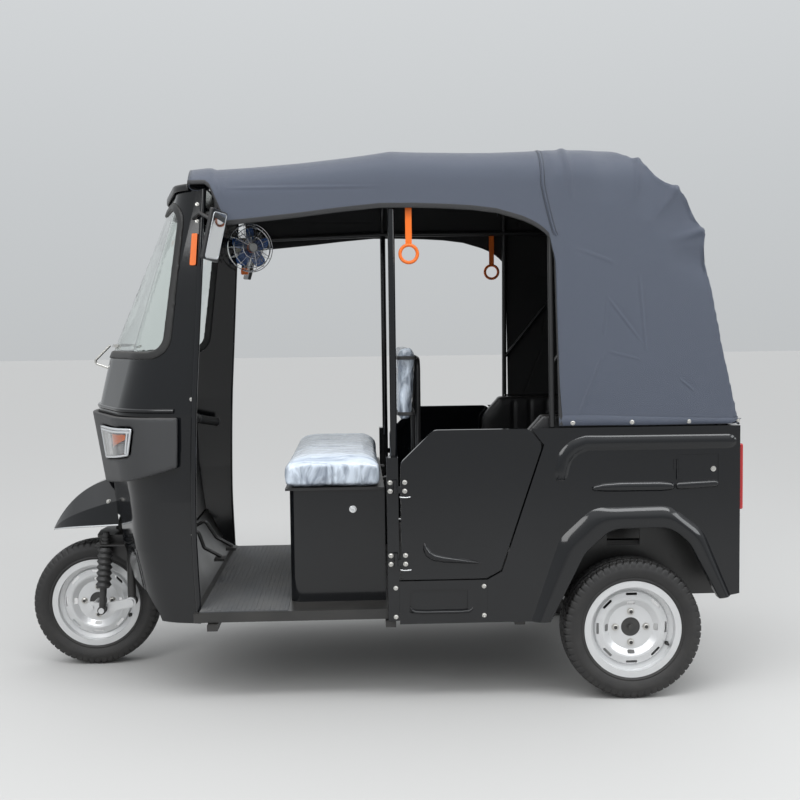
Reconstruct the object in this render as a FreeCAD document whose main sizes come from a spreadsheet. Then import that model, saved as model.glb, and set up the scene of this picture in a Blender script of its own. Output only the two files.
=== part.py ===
# Auto rickshaw: three-wheeled passenger vehicle with a folding-hood canopy.
# X points forward, Y to the vehicle's left, Z up. The origin is on the ground,
# midway between the front tyre and the tail lamps. All sizes are in millimetres.
import FreeCAD, Part
import math
import os
import re

import Sketcher
from FreeCAD import Placement, Rotation, Vector

doc = FreeCAD.newDocument("auto_rickshaw")
sheet = doc.addObject("Spreadsheet::Sheet", "Sizes")

# Driving dimensions: alias, value
SIZES = (
    ("wheelbase", 2000),
    ("front_axle_x", 1069),
    ("tyre_radius", 247),
    ("tyre_width", 130),
    ("rim_radius", 172),
    ("bead_radius", 154),
    ("rim_width", 104),
    ("wheel_wall", 4),
    ("well_depth", 16),
    ("disc_y", 14),
    ("hub_bore", 34),
    ("drum_radius", 70),
    ("drum_back", 34),
    ("cap_stand", 16),
    ("stud_circle", 55),
    ("stud_radius", 6),
    ("stud_count", 4),
    ("stud_stand", 10),
    ("hub_slot_circle", 88),
    ("hub_slot_length", 26),
    ("hub_slot_width", 13),
    ("hub_slot_count", 4),
    ("disc_slot_circle", 121),
    ("disc_slot_length", 40),
    ("disc_slot_width", 9),
    ("disc_slot_count", 8),
    ("track_half", 566),
    ("axle_radius", 9),
    ("running_gap", 0.3),
    ("clear_gap", 6),
    ("body_half_width", 640),
    ("body_top", 963),
    ("body_rear_x", -1300),
    ("panel_wall", 22),
    ("sill_bottom", 290),
    ("flare_stand", 15),
    ("lamp_stand", 16),
    ("floor_top", 335),
    ("rear_floor_top", 432),
    ("deck_top", 652),
    ("sheet_wall", 4),
    ("post_x", -99),
    ("post_y", 584),
    ("post_radius", 12),
    ("post_top", 1728),
    ("door_front_x", -119),
    ("door_bottom", 446),
    ("door_top", 962),
    ("door_wall", 22),
    ("door_skin", 4),
    ("door_rim", 30),
    ("hinge_x", -100),
    ("hinge_radius", 7),
    ("hinge_pin_radius", 3),
    ("hinge_height", 46),
    ("hinge_low", 494),
    ("hinge_high", 747),
    ("box_front_x", 274),
    ("box_rear_x", -68),
    ("box_half_width", 470),
    ("box_top", 738),
    ("cushion_thick", 80),
    ("cushion_front_x", 302),
    ("cushion_half_width", 490),
    ("lid_thick", 8),
    ("cowl_wall", 9),
    ("cab_rear_x", 584),
    ("band_stand", 26),
    ("steer_x", 958),
    ("steer_z", 560),
    ("steer_rake", 22),
    ("stem_radius", 17),
    ("head_radius", 27),
    ("leg_y", 102),
    ("leg_radius", 16),
    ("pivot_x", 918),
    ("pivot_z", 263),
    ("shock_x", 1024),
    ("shock_z", 241),
    ("canopy_wall", 7),
    ("canopy_half_width", 636),
    ("canopy_bottom", 972),
    ("tube_radius", 11),
    ("frame_half_width", 300),
    ("rail_bottom", 246),
    ("rail_height", 50),
    ("rail_width", 40),
    ("fan_radius", 104),
    ("handle_half_width", 370),
    ("rail_rear_x", -1240),
    ("rail_front_x", 660),
    ("sill_front_x", 520),
    ("head_length", 290),
    ("toe_x", 610),
    ("kick_x", -560),
    ("bench_front_x", -640),
    ("rear_x", -931),
    ("floor_half_width", 600),
    ("house_half_width", 470),
    ("mat_pitch", 17),
    ("arch_half_width", 235),
    ("seal_width", 28),
    ("seal_stand", 5),
    ("lamp_inner_y", 270),
    ("visor_reach", 16),
    ("visor_rear_x", 600),
    ("fender_wall", 4),
    ("crown_gap", 22),
    ("stem_drop", 36),
    ("stem_rise", 116),
    ("shock_plate_z", 498),
    ("shock_offset", 44),
    ("shock_lean", 24),
    ("shock_length", 304),
    ("shock_rod_radius", 7),
    ("bellows_rings", 7),
    ("bellows_radius", 30),
    ("pivot_bolt_radius", 8),
    ("link_thick", 12),
    ("grip_radius", 17),
    ("pillar_top", 869),
    ("pillar_inner", 578),
    ("dash_opening", 444),
    ("door_rear_x", -610),
    ("door_corner", 36),
    ("door_low_corner", 14),
    ("hinge_leaf", 26),
    ("hinge_plate", 4),
    ("seam_gap", 0.3),
    ("recess_depth", 7),
    ("bead_stand", 7),
    ("flap_front_x", -1082),
    ("flap_low", 762),
    ("flap_width", 140),
    ("flap_height", 102),
    ("flap_depth", 16),
    ("flap_wall", 3),
    ("flap_axis_x", -1079),
    ("flap_pin_radius", 1.8),
    ("flare_bend", 105),
    ("flare_round", 11),
    ("lamp_low", 667),
    ("lamp_high", 898),
    ("motor_half", 110),
    ("axle_tube", 28),
    ("leaf_width", 50),
    ("leaf_count", 4),
    ("leaf_thick", 7),
    ("spring_half", 270),
    ("spring_rise", 29),
    ("kick_bottom", 350),
    ("box_corner", 36),
    ("lid_hinge_x", -78),
    ("lid_hinge_z", 741),
    ("backrest_x", -130),
    ("backrest_thick", 66),
    ("backrest_half", 260),
    ("backrest_low", 905),
    ("backrest_high", 1255),
    ("wing_front_x", -520),
    ("wing_thick", 54),
    ("bench_half", 600),
    ("bench_back_x", -1130),
    ("bench_back_top", 1014),
    ("bench_thick", 112),
    ("shoulder_bend", 130),
    ("roll_length", 82),
    ("roll_thick", 44),
    ("roll_low", 1816),
    ("rail_z", 1740),
    ("rail_half", 584),
    ("bow_front_x", 500),
    ("foot_half", 615),
    ("bow_middle_x", -648),
    ("bow_rear_x", -1096),
    ("bow_top", 1944),
    ("mirror_y", 640),
    ("mirror_width", 120),
    ("mirror_turn", 17),
    ("fan_turn", 30),
    ("fan_wires", 14),
    ("wire_radius", 1.4),
    ("fan_blade_count", 5),
)
for row, (alias, number) in enumerate(SIZES, start=1):
    sheet.set("A%d" % row, str(number))
    sheet.setAlias("A%d" % row, alias)
doc.recompute()
ALIASES = {alias for alias, number in SIZES}


class Size:
    """Reads a driving dimension from the sheet, as size.wheelbase."""

    def __getattr__(self, alias):
        return float(sheet.get(alias))


size = Size()


def bound(text):
    """Writes an expression with the sheet's name before each alias."""
    return re.sub("[a-z][a-z_]+", lambda word: "Sizes." + word[0] if word[0] in ALIASES else word[0], str(text))


def value(text):
    return float(sheet.evalExpression(bound(text)))


# Sketches and features

def new_body(label):
    body = doc.addObject("PartDesign::Body", label)
    body.Label = label
    return body


def new_sketch(body, name, role, start):
    """A sketch on one of the body's own origin planes, moved along its normal."""
    sketch = body.newObject("Sketcher::SketchObject", body.Name + "_" + name)
    plane = [item for item in body.Origin.OriginFeatures if item.Role == role][0]
    sketch.AttachmentSupport = [(plane, "")]
    sketch.MapMode = "FlatFace"
    sketch.setExpression(".AttachmentOffset.Base.z", bound(start))
    return sketch


def draw_outline(sketch, points):
    """A closed outline of straight lines. Each point is two expressions."""
    spots = [Vector(value(across), value(up), 0) for across, up in points]
    count = len(spots)
    first = sketch.GeometryCount
    for index in range(count):
        sketch.addGeometry(Part.LineSegment(spots[index], spots[(index + 1) % count]))
    for index in range(count):
        following = first + (index + 1) % count
        sketch.addConstraint(Sketcher.Constraint("Coincident", first + index, 2, following, 1))
    for index, point in enumerate(points):
        for kind, text, number in (("DistanceX", point[0], spots[index].x), ("DistanceY", point[1], spots[index].y)):
            place = sketch.addConstraint(Sketcher.Constraint(kind, -1, 1, first + index, 1, number))
            sketch.setExpression("Constraints[%d]" % place, bound(text))


def draw_circle(sketch, across, up, radius):
    spot = Vector(value(across), value(up), 0)
    circle = sketch.addGeometry(Part.Circle(spot, Vector(0, 0, 1), value(radius)))
    for kind, text, number in (("DistanceX", across, spot.x), ("DistanceY", up, spot.y)):
        place = sketch.addConstraint(Sketcher.Constraint(kind, -1, 1, circle, 3, number))
        sketch.setExpression("Constraints[%d]" % place, bound(text))
    place = sketch.addConstraint(Sketcher.Constraint("Radius", circle, value(radius)))
    sketch.setExpression("Constraints[%d]" % place, bound(radius))


def pad(body, sketch, length, midplane=False):
    feature = body.newObject("PartDesign::Pad", sketch.Name + "_pad")
    feature.Profile = sketch
    feature.setExpression("Length", bound(length))
    feature.Midplane = midplane
    sketch.Visibility = False
    return feature


def pocket(body, sketch, length, midplane=False, flip=False):
    feature = body.newObject("PartDesign::Pocket", sketch.Name + "_pocket")
    feature.Profile = sketch
    feature.setExpression("Length", bound(length))
    feature.Midplane = midplane
    feature.Reversed = flip
    return feature


def revolve(body, sketch, axis):
    feature = body.newObject("PartDesign::Revolution", sketch.Name + "_turn")
    feature.Profile = sketch
    feature.ReferenceAxis = (sketch, [axis])
    feature.Angle = 360
    return feature


def polar(body, feature, count, role="Y_Axis"):
    """Repeats a feature round one of the body's own axes."""
    pattern = body.newObject("PartDesign::PolarPattern", feature.Name + "_ring")
    pattern.Originals = [feature]
    axis = [item for item in body.Origin.OriginFeatures if item.Role == role][0]
    pattern.Axis = (axis, [""])
    pattern.Angle = 360
    pattern.setExpression("Occurrences", bound(count))
    body.Tip = pattern
    return pattern


def fillet_edges(body, feature, radius, wanted):
    """Rounds the edges of the feature for which wanted(edge) holds."""
    doc.recompute()
    names = ["Edge%d" % (index + 1) for index, edge in enumerate(feature.Shape.Edges) if wanted(edge)]
    rounded = body.newObject("PartDesign::Fillet", feature.Name + "_round")
    rounded.Base = (feature, names)
    rounded.setExpression("Radius", bound(radius))
    return rounded


def along(edge, axis):
    """True for a straight edge parallel to the axis."""
    if not isinstance(edge.Curve, Part.Line):
        return False
    return abs(abs(edge.Curve.Direction.dot(axis)) - 1) < 1e-6


def side_body(label, points, outer_face, thick):
    """A plate seen from the side: its outer face at +Y, its thickness inwards."""
    body = new_body(label)
    sketch = new_sketch(body, "outline", "XZ_Plane", "-(%s)" % outer_face)
    draw_outline(sketch, points)
    pad(body, sketch, thick)
    return body


def side_pocket(body, name, points, outer_face, depth):
    sketch = new_sketch(body, name, "XZ_Plane", "-(%s)" % outer_face)
    draw_outline(sketch, points)
    return pocket(body, sketch, depth, flip=True)


def mirrored(label, source):
    """The same piece on the vehicle's right side."""
    mirror = doc.addObject("Part::Mirroring", label)
    mirror.Source = source
    mirror.Normal = Vector(0, 1, 0)
    mirror.Label = label
    return mirror


def shaped(label, shape):
    """A piece whose shape is worked out by the code below from the sheet."""
    feature = doc.addObject("Part::Feature", label)
    feature.Label = label
    feature.Shape = shape
    return feature


# Shapes made in code

def fillet_outline(points, radii):
    """A closed wire in a plane of constant Z: straight lines joined by tangent arcs."""
    edges = []
    starts = []
    ends = []
    count = len(points)
    for index in range(count):
        here = points[index]
        before = (points[index - 1] - here).normalize()
        after = (points[(index + 1) % count] - here).normalize()
        radius = radii[index]
        if radius <= 0:
            starts.append(here)
            ends.append(here)
            edges.append(None)
            continue
        half = before.getAngle(after) / 2
        reach = radius / math.tan(half)
        middle = (before + after).normalize() * (radius / math.sin(half) - radius)
        starts.append(here + before * reach)
        ends.append(here + after * reach)
        edges.append(Part.Arc(starts[-1], here + middle, ends[-1]).toShape())
    wire = []
    for index in range(count):
        if edges[index] is not None:
            wire.append(edges[index])
        following = (index + 1) % count
        if ends[index].distanceToPoint(starts[following]) > 1e-6:
            wire.append(Part.LineSegment(ends[index], starts[following]).toShape())
    return Part.Wire(wire)


def prism(points, radii, direction):
    """A solid whose section is a rounded outline, pushed along a direction."""
    return Part.Face(fillet_outline(points, radii)).extrude(direction)


def side_prism(points, radii, low_y, high_y):
    """A solid with a rounded outline in X and Z between two values of Y."""
    spots = [Vector(x, low_y, z) for x, z in points]
    return prism(spots, radii, Vector(0, high_y - low_y, 0))


def block(low, high):
    return Part.makeBox(high[0] - low[0], high[1] - low[1], high[2] - low[2], Vector(*low))


def rod(start, end, radius):
    way = Vector(*end) - Vector(*start)
    return Part.makeCylinder(radius, way.Length, Vector(*start), way)


def tube_path(points, radius, bend):
    """A round bar: straight cylinders joined by torus bends."""
    spots = [Vector(*point) for point in points]
    pieces = []
    last = spots[0]
    for index in range(1, len(spots) - 1):
        here = spots[index]
        before = (spots[index - 1] - here).normalize()
        after = (spots[index + 1] - here).normalize()
        half = before.getAngle(after) / 2
        reach = bend / math.tan(half)
        centre = here + (before + after).normalize() * (bend / math.sin(half))
        start = here + before * reach
        pieces.append(rod(tuple(last), tuple(start), radius))
        section = Part.Face(Part.Wire([Part.Circle(start, before, radius).toShape()]))
        axis = (start - centre).cross(before * -1).normalize()
        pieces.append(section.revolve(centre, axis, 180 - math.degrees(2 * half)))
        last = here + after * reach
    pieces.append(rod(tuple(last), tuple(spots[-1]), radius))
    return pieces[0].fuse(pieces[1:])


def fused(shapes):
    whole = shapes[0].fuse(list(shapes[1:])) if len(shapes) > 1 else shapes[0]
    return whole.removeSplitter()


# Wheels

REAR_AXLE = "front_axle_x - wheelbase"
WHEELS = (
    # name, axle x, middle y, +1 where the dished face looks to +Y
    ("front", "front_axle_x", "0", 1),
    ("rear_left", REAR_AXLE, "track_half", 1),
    ("rear_right", REAR_AXLE, "-track_half", -1),
)


def place_wheel(body, axle_x, middle_y, side):
    body.setExpression(".Placement.Base.x", bound(axle_x))
    body.setExpression(".Placement.Base.y", bound(middle_y))
    body.setExpression(".Placement.Base.z", bound("tyre_radius"))
    if side < 0:
        body.Placement.Rotation = Rotation(Vector(0, 0, 1), 180)


def tyre(name, axle_x, middle_y, side):
    """Road tyre: tread with two grooves, round shoulders, beads on the rim."""
    body = new_body(name + "_tyre")
    section = new_sketch(body, "section", "YZ_Plane", "0")
    half = "tyre_width / 2"
    bead = "(rim_width / 2 - wheel_wall - running_gap)"
    draw_outline(section, (
        ("-%s" % bead, "bead_radius + running_gap"),
        ("-%s" % bead, "rim_radius + 2"),
        ("-%s + 5" % half, "rim_radius + 8"),
        ("-%s" % half, "rim_radius + 30"),
        ("-%s + 4" % half, "tyre_radius - 22"),
        ("-%s + 15" % half, "tyre_radius - 7"),
        ("-%s + 32" % half, "tyre_radius"),
        ("%s - 32" % half, "tyre_radius"),
        ("%s - 15" % half, "tyre_radius - 7"),
        ("%s - 4" % half, "tyre_radius - 22"),
        (half, "rim_radius + 30"),
        ("%s - 5" % half, "rim_radius + 8"),
        (bead, "rim_radius + 2"),
        (bead, "bead_radius + running_gap"),
    ))
    revolve(body, section, "H_Axis")
    place_wheel(body, axle_x, middle_y, side)
    return body


def rim(name, axle_x, middle_y, side):
    """Pressed steel wheel: channel rim, dished disc, two rings of slots."""
    body = new_body(name + "_rim")
    edge = "rim_width / 2"
    inner = "bead_radius - wheel_wall"
    barrel = new_sketch(body, "barrel", "YZ_Plane", "0")
    draw_outline(barrel, (
        (edge, "rim_radius"),
        ("%s - wheel_wall" % edge, "rim_radius"),
        ("%s - wheel_wall" % edge, "bead_radius"),
        ("22", "bead_radius"),
        ("16", "bead_radius - well_depth"),
        ("-16", "bead_radius - well_depth"),
        ("-22", "bead_radius"),
        ("-%s + wheel_wall" % edge, "bead_radius"),
        ("-%s + wheel_wall" % edge, "rim_radius"),
        ("-%s" % edge, "rim_radius"),
        ("-%s" % edge, inner),
        ("-24", inner),
        ("-18", "%s - well_depth" % inner),
        ("18", "%s - well_depth" % inner),
        ("24", inner),
        (edge, inner),
    ))
    revolve(body, barrel, "H_Axis")
    disc = new_sketch(body, "disc", "YZ_Plane", "0")
    well = "bead_radius - well_depth - wheel_wall / 2"
    draw_outline(disc, (
        ("disc_y + 2", well),
        ("disc_y + 13", "disc_slot_circle + 8"),
        ("disc_y + 17", "disc_slot_circle - 15"),
        ("disc_y + 15", "hub_slot_circle + 12"),
        ("disc_y", "hub_slot_circle - 8"),
        ("disc_y", "hub_bore"),
        ("disc_y - wheel_wall", "hub_bore"),
        ("disc_y - wheel_wall", "hub_slot_circle - 6"),
        ("disc_y + 15 - wheel_wall", "hub_slot_circle + 14"),
        ("disc_y + 17 - wheel_wall", "disc_slot_circle - 15"),
        ("disc_y + 13 - wheel_wall", "disc_slot_circle + 6"),
        ("disc_y - 4", well),
    ))
    turned = revolve(body, disc, "H_Axis")
    body.Tip = turned
    for ring in ("disc_slot", "hub_slot"):
        slots = new_sketch(body, ring + "s", "XZ_Plane", "-disc_y - 30")
        half = "%s_length / 2" % ring
        low = "%s_circle - %s_width / 2" % (ring, ring)
        high = "%s_circle + %s_width / 2" % (ring, ring)
        nip = "%s_width / 4" % ring
        draw_outline(slots, (
            ("-%s + %s" % (half, nip), low),
            ("%s - %s" % (half, nip), low),
            (half, "%s + %s" % (low, nip)),
            (half, "%s - %s" % (high, nip)),
            ("%s - %s" % (half, nip), high),
            ("-%s + %s" % (half, nip), high),
            ("-%s" % half, "%s - %s" % (high, nip)),
            ("-%s" % half, "%s + %s" % (low, nip)),
        ))
        cut = pocket(body, slots, "45", flip=True)
        polar(body, cut, ring + "_count")
    holes = new_sketch(body, "stud_holes", "XZ_Plane", "-disc_y - 10")
    draw_circle(holes, "0", "stud_circle", "stud_radius + running_gap")
    hole = pocket(body, holes, "20", flip=True)
    polar(body, hole, "stud_count")
    place_wheel(body, axle_x, middle_y, side)
    return body


def hub(name, axle_x, middle_y, side, cap_stand):
    """Brake drum behind the disc, wheel studs with nuts, grease cap in front."""
    body = new_body(name + "_hub")
    drum = new_sketch(body, "drum", "YZ_Plane", "0")
    face = "disc_y - wheel_wall"
    draw_outline(drum, (
        (face, "axle_radius + running_gap"),
        (face, "drum_radius - 6"),
        ("%s - 6" % face, "drum_radius"),
        ("-drum_back", "drum_radius"),
        ("-drum_back", "axle_radius + running_gap"),
    ))
    revolve(body, drum, "H_Axis")
    cap = new_sketch(body, "cap", "XZ_Plane", "-disc_y + wheel_wall")
    draw_circle(cap, "0", "0", "hub_bore - running_gap")
    draw_circle(cap, "0", "0", "axle_radius + running_gap")
    pad(body, cap, "wheel_wall + %s" % cap_stand)
    studs = new_sketch(body, "studs", "XZ_Plane", "-disc_y - stud_stand")
    draw_circle(studs, "0", "stud_circle", "stud_radius")
    stud = pad(body, studs, "stud_stand + wheel_wall + 2")
    polar(body, stud, "stud_count")
    place_wheel(body, axle_x, middle_y, side)
    return body


for wheel_name, axle_x, middle_y, side in WHEELS:
    tyre(wheel_name, axle_x, middle_y, side)
    rim(wheel_name, axle_x, middle_y, side)
    hub(wheel_name, axle_x, middle_y, side, "cap_stand")


# Chassis: two rails, cross members, sill outriggers and the steering head

RAKE = math.radians(size.steer_rake)
STEER_UP = Vector(-math.sin(RAKE), 0, math.cos(RAKE))
STEER_BASE = Vector(size.steer_x, 0, size.steer_z)


def on_steering_axis(rise):
    """The point of the raked steering axis that lies this far above its base."""
    return STEER_BASE + STEER_UP * rise


def steering_tube(low, high, outer, inner=0):
    tube = Part.makeCylinder(outer, high - low, on_steering_axis(low), STEER_UP)
    if inner > 0:
        tube = tube.cut(Part.makeCylinder(inner, high - low + 4, on_steering_axis(low - 2), STEER_UP))
    return tube


def chassis_frame():
    rail_top = size.rail_bottom + size.rail_height
    inner = size.frame_half_width - size.rail_width / 2
    outer = size.frame_half_width + size.rail_width / 2
    pieces = []
    for side in (-1, 1):
        low_y, high_y = sorted((side * inner, side * outer))
        kick_top = size.kick_bottom + size.rail_height - 10
        rail = (
            (size.rail_front_x, size.rail_bottom), (size.rail_front_x, rail_top), (size.kick_x, rail_top),
            (size.kick_x - 70, kick_top), (size.rail_rear_x, kick_top), (size.rail_rear_x, size.kick_bottom),
            (size.kick_x - 90, size.kick_bottom), (size.kick_x - 20, size.rail_bottom),
        )
        pieces.append(side_prism(rail, (0,) * 8, low_y, high_y))
        knee = (size.rail_front_x - 20, side * size.frame_half_width, rail_top - 22)
        bend = (size.toe_x + 122, side * 190, size.steer_z - 40)
        head = tuple(on_steering_axis(size.head_length * 0.8))
        pieces.append(rod(knee, bend, size.tube_radius + 4))
        pieces.append(rod(bend, head, size.tube_radius + 4))
        pieces.append(Part.makeSphere(size.tube_radius + 4, Vector(*bend)))
    for cross_x in (size.rail_front_x - 40, size.box_front_x - 60, size.post_x, size.kick_x + 10):
        pieces.append(block((cross_x, -inner, size.rail_bottom + 6), (cross_x + 36, inner, rail_top)))
    kick_top = size.kick_bottom + size.rail_height - 10
    pieces.append(block((size.rail_rear_x, -inner, size.kick_bottom + 4), (size.rail_rear_x + 36, inner, kick_top)))
    reach = size.body_half_width - size.panel_wall
    for sill_x in (size.sill_front_x, size.post_x, size.kick_x + 10):
        pieces.append(block((sill_x, -reach, rail_top - 22), (sill_x + 36, reach, rail_top)))
    pieces.append(steering_tube(0, size.head_length, size.head_radius))
    frame = fused(pieces)
    bore = size.stem_radius + size.running_gap
    return frame.cut(Part.makeCylinder(bore, size.head_length + 60, on_steering_axis(-30), STEER_UP))


shaped("chassis_frame", chassis_frame())


# Floor: the driver's floor with its toe board, the raised rear floor, the deck under the bench

def pillar_room():
    """The two notches that the hinge pillars stand in."""
    inner = size.pillar_inner - size.seam_gap
    reach = (size.post_x - 12 - size.seam_gap, size.post_x + 27 + size.seam_gap)
    return [block((reach[0], low_y, 200), (reach[1], high_y, 900)) for low_y, high_y in ((inner, 700), (-700, -inner))]


def floor_pan():
    wall = size.sheet_wall
    low = size.floor_top - wall
    half = size.floor_half_width
    points = (
        (size.box_rear_x - 40, low), (size.toe_x, low), (size.toe_x + 95, low + 190),
        (size.toe_x + 95 - wall, low + 190 + wall / 2), (size.toe_x - wall, size.floor_top),
        (size.box_rear_x - 40, size.floor_top),
    )
    pan = side_prism(points, (0,) * 6, -half, half)
    pan = pan.cut(block((size.cab_rear_x, -900, 0), (1200, 900, 900)).cut(cab_solid(-size.cowl_wall - size.seam_gap, -60, FLOOR_ROWS)))
    sills = [
        block((size.box_rear_x - 4, side_low, size.sill_bottom + 10), (size.toe_x - 6, side_high, low))
        for side_low, side_high in ((half - 26, half), (-half, -half + 26))
    ]
    return fused([pan] + sills).cut(pillar_room())


def rear_tub():
    """Raised rear floor, riser, bench deck and the inner walls of the wheel houses."""
    wall = size.sheet_wall
    inside = size.body_half_width - size.panel_wall - size.running_gap
    front = size.box_rear_x - 40 - wall
    floor_low = size.rear_floor_top - wall
    riser = size.bench_front_x
    back = size.body_rear_x + size.panel_wall + size.running_gap
    pieces = [
        block((riser, -inside, floor_low), (front + wall, inside, size.rear_floor_top)),
        block((front, -inside, size.floor_top - wall), (front + wall, inside, size.rear_floor_top)),
        block((riser - wall, -inside, floor_low), (riser, inside, size.deck_top)),
        block((back, -inside, size.deck_top - wall), (riser, inside, size.deck_top)),
    ]
    for side in (-1, 1):
        low_y, high_y = sorted((side * size.house_half_width, side * (size.house_half_width + wall)))
        house = block((back, low_y, size.floor_top), (riser, high_y, size.deck_top - wall))
        window = block((size.rear_x - 60, low_y - 5, 520), (size.rear_x + 60, high_y + 5, 590))
        pieces.append(house.cut(window))
    return fused(pieces).cut(pillar_room())


shaped("rear_tub", rear_tub())


def floor_mat():
    """Rubber mat with ribs running across the floor."""
    half = size.floor_half_width - 6
    base = block((size.box_front_x + 4, -half, size.floor_top), (size.toe_x - 26, half, size.floor_top + 3))
    ribs = []
    place = size.box_front_x + 16
    while place < size.toe_x - 38:
        ribs.append(block((place, -half + 10, size.floor_top + 3), (place + 6, half - 10, size.floor_top + 4.5)))
        place += size.mat_pitch
    return fused([base] + ribs)


shaped("floor_mat", floor_mat())


# Front cab: one shell lofted through rounded sections, each a row of this table

CAB_SECTIONS = (
    # height, rear x, half width at the rear, corner x, half width at the corner, corner radius, tip x
    (283, 587, 545, 760, 505, 190, 930),
    (530, 598, 548, 800, 505, 190, 1020),
    (713, 598, 550, 812, 505, 190, 1027),
    (1020, 590, 548, 850, 500, 190, 1085),
    (1206, 578, 545, 800, 495, 180, 1046),
    (1753, 545, 520, 648, 492, 120, 776),
    (1812, 541, 516, 637, 488, 110, 752),
)
CAB_NOSE = 480
FLOOR_ROWS = CAB_SECTIONS[:3]


def cab_section(row, grow, rear_shift):
    """One section of the cab, grown outwards, with its open end moved back."""
    height, rear_x, rear_half, corner_x, corner_half, corner_radius, tip_x = row
    side_way = Vector(corner_x - rear_x, corner_half - rear_half, 0).normalize()
    side_out = Vector(-side_way.y, side_way.x, 0)
    face_way = Vector(tip_x - corner_x, -corner_half, 0).normalize()
    face_out = Vector(-face_way.y, face_way.x, 0)
    side_spot = Vector(rear_x, rear_half, height) + side_out * grow
    face_spot = Vector(tip_x, 0, height) + face_out * grow
    run = (face_spot - side_spot).cross(face_way).z / side_way.cross(face_way).z
    corner = side_spot + side_way * run
    tip = face_spot - face_way * (face_spot.y / face_way.y)
    rear = side_spot - side_way * ((side_spot.x - rear_x - rear_shift) / side_way.x)
    left = [rear, corner, tip]
    right = [Vector(spot.x, -spot.y, spot.z) for spot in (corner, rear)]
    bend = corner_radius + grow
    return fillet_outline(left + right, (0, bend, CAB_NOSE + grow, bend, 0))


def cab_solid(grow, rear_shift=0, rows=CAB_SECTIONS):
    return Part.makeLoft([cab_section(row, grow, rear_shift) for row in rows], True, True)


def cab_layer(outer, inner, rear_shift=0):
    """The space between two grown copies of the cab's outside."""
    return cab_solid(outer, rear_shift).cut(cab_solid(inner, rear_shift - 60))


def across(points, radii):
    """A side outline pushed through the whole width of the vehicle."""
    return side_prism(points, radii, -900, 900)


GLASS = ((637, 1748), (1000, 1762), (1200, 1242), (706, 1242))


def glass_outline(grow):
    """The windscreen's side outline, grown evenly."""
    rear_top, front_top, front_low, rear_low = GLASS
    points = (
        (rear_top[0] - grow, rear_top[1] + grow), (front_top[0], front_top[1] + grow),
        (front_low[0], front_low[1] - grow), (rear_low[0] - grow, rear_low[1] - grow),
    )
    return across(points, (60 + grow, 0, 0, 60 + grow))


def front_cowl():
    wall = size.cowl_wall
    first, last = CAB_SECTIONS[0], CAB_SECTIONS[-1]
    hollow_rows = ((first[0] - 20,) + first[1:],) + CAB_SECTIONS[1:-1] + ((last[0] - wall,) + last[1:],)
    shell = cab_solid(0).cut(cab_solid(-wall, -60, hollow_rows))
    arch = across(((760, 200), (790, 480), (860, 620), (1200, 620), (1200, 200)), (0, 60, 60, 0, 0))
    arch = arch.common(block((600, -size.arch_half_width, 0), (1400, size.arch_half_width, 900)))
    skirt = across(((700, 200), (741, 309), (794, 384), (1300, 384), (1300, 200)), (0, 30, 0, 0, 0))
    for opening in (glass_outline(size.seal_width), arch, skirt):
        shell = shell.cut(opening)
    return shell


shaped("front_cowl", front_cowl())
shaped("floor_pan", floor_pan())
seal_ring = glass_outline(size.seal_width).cut(glass_outline(0))
shaped("windscreen_seal", cab_layer(size.seal_stand, -size.cowl_wall - 4).common(seal_ring))
shaped("windscreen", cab_layer(-3, -8).common(glass_outline(0)))


# Headlamp band round the nose, its two lamps and the visor over the windscreen

BAND = ((650, 1012), (1200, 1012), (1200, 736), (1000, 736), (648, 838))
LAMP = ((812, 975), (830, 878), (990, 840), (990, 968))


def lamp_opening(grow):
    points = [(x - grow if x < 900 else x, z + (grow if z > 900 else -grow)) for x, z in LAMP]
    return across(points, (12, 12, 12, 12)).cut(block((0, -size.lamp_inner_y, 0), (2000, size.lamp_inner_y, 2000)))


def band_solid(gap):
    """The band standing out from the cab, or the room that it needs with a gap round it."""
    points = [(x, z - gap) for x, z in BAND]
    return cab_layer(size.band_stand + gap, 0, 60).common(across(points, (0, 0, 0, 140, 0)))


shaped("headlamp_band", band_solid(0).cut(lamp_opening(4)))
shaped("headlamps", cab_layer(size.band_stand + 3, 1, 60).common(lamp_opening(0)))


def sun_visor():
    """A shallow tray over the windscreen's top edge, open below."""
    low, rim_low, top = 1812.3, 1796, 1824
    rows = [(rim_low,) + CAB_SECTIONS[-1][1:], (top,) + CAB_SECTIONS[-1][1:]]
    outer = cab_solid(size.visor_reach, 0, rows)
    inner = cab_solid(size.visor_reach - 8, -60, [(rim_low - 4,) + CAB_SECTIONS[-1][1:], (low,) + CAB_SECTIONS[-1][1:]])
    front = block((size.visor_rear_x, -900, 0), (1400, 900, 2200))
    return outer.cut(inner).common(front)


shaped("sun_visor", sun_visor())


# Dash: knee panel, shelf under the windscreen, slot for the steering column

def dash_panel():
    wall = size.sheet_wall
    points = (
        (size.toe_x + 96, 530), (size.toe_x + 120, 700), (size.toe_x + 130, 1035), (800, 1120), (952, 1196),
        (954, 1196 - wall), (803, 1116), (size.toe_x + 130 + wall, 1032), (size.toe_x + 120 + wall, 700),
        (size.toe_x + 96 + wall, 530),
    )
    sheet_metal = side_prism(points, (0,) * 10, -500, 500)
    inside = cab_solid(-size.cowl_wall - size.running_gap)
    bar_room = block((600, -size.dash_opening, 852), (1100, size.dash_opening, 1150))
    return sheet_metal.common(inside).cut(bar_room)


shaped("dash_panel", dash_panel())


# Front mudguard: a pointed hood fixed to the cowl, lofted through arched sections

FENDER_SECTIONS = (
    # x, bottom z, half width, crease half width, crease z, half width of the top, top z
    (1236, 533, 14, 12, 538, 6, 543),
    (1166, 552, 92, 82, 590, 34, 640),
    (1048, 568, 160, 146, 640, 66, 724),
    (920, 578, 190, 176, 676, 90, 756),
    (800, 586, 200, 188, 690, 100, 768),
)


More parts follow.
